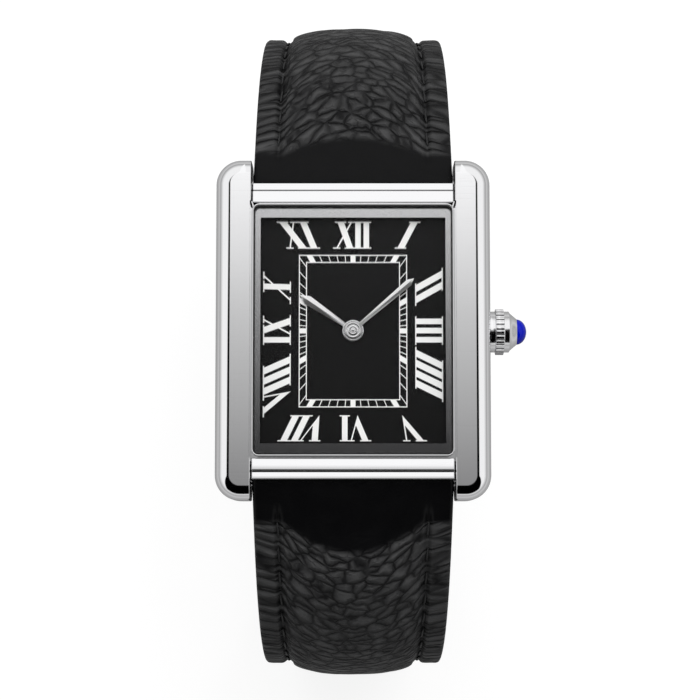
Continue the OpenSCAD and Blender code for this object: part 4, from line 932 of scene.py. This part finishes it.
def strapStations(half, fine, coarse, fineTo=30):
    # rows along the strap, closer near the case and round its ends
    form = strapShape
    turn = [math.pi / 2 * k / form["loopSteps"] for k in range(form["loopSteps"] + 1)]
    rows = [-form["noseR"] * math.cos(a) for a in turn[:-1]]
    rows += [k * fine for k in range(int(fineTo / fine) + 1)]
    start = rows[-1]
    count = int((half["length"] - start) / coarse)
    rows += [start + (half["length"] - start) * (k + 1) / count for k in range(count)]
    if not half["isTail"]:
        rows += [half["length"] + form["buckleLoop"] * math.sin(a) for a in turn[1:]]
    return rows


def leatherHeight(half, s, d, share):
    # outer surface over the middle line, at a distance from the edge or a share of the padding
    form = strapShape
    if s < 0:
        top = math.sqrt(max(0.0, form["noseR"] ** 2 - s * s))
    elif s > half["length"]:
        top = math.sqrt(max(0.0, form["buckleLoop"] ** 2 - (s - half["length"]) ** 2))
    else:
        top = topEdge(half, s)
    if share is not None:
        top += crownHeight(half, s) * math.sqrt(max(0.0, 1 - share * share))
    else:
        groove = math.exp(-((d - form["grooveAt"]) / form["grooveHalf"]) ** 2)
        ended = endShare(half, s)
        if half["isTail"]:
            ended = ease((s - half["length"] + form["grooveStop"]) / form["grooveFade"])
        begun = ease((s - form["grooveFrom"]) / form["grooveRise"])
        top -= form["grooveDepth"] * groove * begun * (1 - ended)
        r = form["edgeRound"]
        if d < r:
            top -= r - math.sqrt(max(0.0, r * r - (r - d) ** 2))
    return top


def leatherRelief(half, s, x, share):
    # broad unevenness, cross wrinkles on the flat edges, soft folds on the crown
    form = grainShape
    mask = grainMaskAt(half, s, x)
    bowed = s + form["bow"] * x * x
    seed = form["seed"] * half["side"]
    relief = form["uneven"] * grainWave("uneven", x, bowed, seed)
    if share is None:
        drift = form["wrinkleDrift"] * grainWave("drift", x, s, seed)
        wave = abs(math.sin(math.pi * (s / form["wrinklePitch"] + drift)))
        small = abs(grainWave("small", x, s, seed))
        strength = 0.55 + 0.9 * grainWave("strength", x, s, seed)
        folds = strength * (wave ** 0.6 - 0.7) + 0.5 * (small - 0.25)
        relief += form["wrinkle"] * mask * folds
    else:
        folds = 0.5 * grainWave("swell", x, bowed, seed) + 0.6 * grainWave("broad", x, bowed, seed)
        relief += form["pebble"] * mask * folds
        relief += form["pucker"] * (1 - mask) * grainWave("pucker", x, s) * ease((s - 0.5) / 2)
    return relief


def stripGrid(wide, long, layers=()):
    # a flat grid and its underside, and for each vertex its column, its row and whether it is upper
    shape = bmesh.new()
    for kind, name in layers:
        getattr(shape.verts.layers, kind).new(name)
    bmesh.ops.create_grid(shape, x_segments=wide, y_segments=long, size=1)
    grown = bmesh.ops.extrude_face_region(shape, geom=list(shape.faces))
    upper = {item for item in grown["geom"] if isinstance(item, bmesh.types.BMVert)}
    places = [(vert, round((vert.co.x + 1) / 2 * wide), round((vert.co.y + 1) / 2 * long),
               vert in upper) for vert in shape.verts]
    return shape, places


def leatherShape(half):
    form = strapShape
    rows = strapStations(half, 0.2, 0.36)
    shape, places = stripGrid(len(columns) - 1, len(rows) - 1,
                              [("float_vector", "strapPlace"), ("float", "grainMask")])
    onStrap = shape.verts.layers.float_vector["strapPlace"]
    maskLayer = shape.verts.layers.float["grainMask"]
    for vert, column, row, isUpper in places:
        s = rows[row]
        side, d, share = columns[column]
        width, pad = halfWidth(half, s), padHalf(half, s)
        x = share * pad if side == 0 else side * (width - d * (width - pad) / form["padEdge"])
        if isUpper:
            n = leatherHeight(half, s, d, share)
            if 0 < s < half["length"]:
                n += leatherRelief(half, s, x, share)
        elif s < 0:
            n = -math.sqrt(max(0.0, form["noseR"] ** 2 - s * s))
        elif s > half["length"]:
            n = -math.sqrt(max(0.0, form["buckleLoop"] ** 2 - (s - half["length"]) ** 2))
        else:
            begun = ease((s - form["liningFrom"]) / form["liningFade"])
            ended = ease((s - liningEnd(half)) / form["liningFade"])
            n = underSide(half, s) + form["lining"] * begun * (1 - ended)
        vert.co = strapPoint(half, s, x, n)
        # the grain is drawn together on the flat edges
        past = grainShape["ribSqueeze"] * max(0.0, abs(x) - pad)
        grainX = math.copysign(min(abs(x), pad) + past, x)
        bowed = s + grainShape["bow"] * grainX * grainX
        vert[onStrap] = Vector((grainX, bowed, grainShape["patternAt"] * half["side"]))
        vert[maskLayer] = grainMaskAt(half, s, x) if isUpper else 0.0
    bmesh.ops.remove_doubles(shape, verts=shape.verts, dist=form["weld"])
    bmesh.ops.recalc_face_normals(shape, faces=shape.faces)
    return shape


holeRow = {"count": 7, "firstBack": 19.0, "pitch": 6.0, "radius": 0.85, "deep": 8}


def strapCutter(half, forLining=False):
    # bores for the bars, the tang's slot and the row of holes
    form = strapShape
    shape = bmesh.new()
    acrossTurn = Matrix.Rotation(math.pi / 2, 4, "Y")
    if not forLining:
        addRod(shape, strapMatrix(half, 0) @ acrossTurn, form["noseR"] - form["barWall"],
               form["boreLength"])
    if half["isTail"]:
        for k in range(holeRow["count"]):
            s = half["length"] - holeRow["firstBack"] - k * holeRow["pitch"]
            addRod(shape, strapMatrix(half, s), holeRow["radius"], holeRow["deep"], 32)
    elif not forLining:
        addRod(shape, strapMatrix(half, half["length"]) @ acrossTurn, form["buckleBore"],
               form["boreLength"])
        addBox(shape, strapMatrix(half, half["length"] + form["slotPast"]), form["slot"])
    return shape


liningForm = {"from": 3.25, "gap": 0.01, "roundFrom": 0.97, "roundHeight": 0.2,
              "shares": (0, 0.2, 0.45, 0.7, 0.9, 0.98, 0.995, 1)}


def liningShape(half):
    form = liningForm
    start, end = form["from"], liningEnd(half)
    rows = [s for s in strapStations(half, 0.8, 0.9) if start + 0.05 < s < end]
    rows = [start] + rows + [end]
    shares = [-share for share in reversed(form["shares"][1:])] + list(form["shares"])
    shape, places = stripGrid(len(shares) - 1, len(rows) - 1)
    for vert, column, row, isUpper in places:
        s, share = rows[row], shares[column]
        n = underSide(half, s)
        if isUpper:
            n += strapShape["lining"] - form["gap"]
        else:
            rounded = (abs(share) - form["roundFrom"]) / (1 - form["roundFrom"])
            n += form["roundHeight"] * ease(rounded)
        vert.co = strapPoint(half, s, share * halfWidth(half, s), n)
    bmesh.ops.recalc_face_normals(shape, faces=shape.faces)
    return shape


# one stitch after another in the groove, each a little slanted
stitchRow = {"pitch": 2.6, "length": 1.75, "radius": 0.15, "from": 4.5, "sink": 0.36, "turn": 0.1}


def stitchShape(half):
    shape = bmesh.new()
    form = stitchRow
    size = Matrix.Diagonal((form["radius"], form["length"] / 2, form["radius"], 1))
    s = form["from"]
    while s < half["length"] - half["stitchStop"]:
        for side in (-1, 1):
            width, pad = halfWidth(half, s), padHalf(half, s)
            x = side * (width - strapShape["grooveAt"] * (width - pad) / strapShape["padEdge"])
            up = topEdge(half, s) - form["sink"]
            seat = strapMatrix(half, s) @ Matrix.Translation((x, 0, up))
            seat = seat @ Matrix.Rotation(side * form["turn"], 4, "Z")
            bmesh.ops.create_uvsphere(shape, u_segments=8, v_segments=6, radius=1,
                                      matrix=seat @ size)
        s += form["pitch"]
    bmesh.ops.recalc_face_normals(shape, faces=shape.faces)
    return shape


for half in (buckleHalf, tailHalf):
    body = half["name"]
    leather = makePiece(body + "_cover", leatherShape(half), grainedLeather, body,
                        [body + "_leather", body + "_padding"], 50, False)
    cutFrom(leather, strapCutter(half))
    lining = makePiece(body + "_inside", liningShape(half), finishes["lining_black"], body,
                       [body + "_lining"], 50, False)
    if half["isTail"]:
        cutFrom(lining, strapCutter(half, True))
    makePiece(body + "_stitches", stitchShape(half), threadFinish, body, (), 60,
              False)
    print(body, "made,", len(leather.data.polygons), "faces")


# Keepers and buckle

dressNode("fixed_keeper", "strap_12", 0.25, 3)
dressNode("free_keeper", "free_keeper", 0.25, 3)
dressNode("buckle_frame", "buckle", 0.45, 4)
dressNode("buckle_tang", "tang", 0.18, 3)
print("keepers and buckle finished")
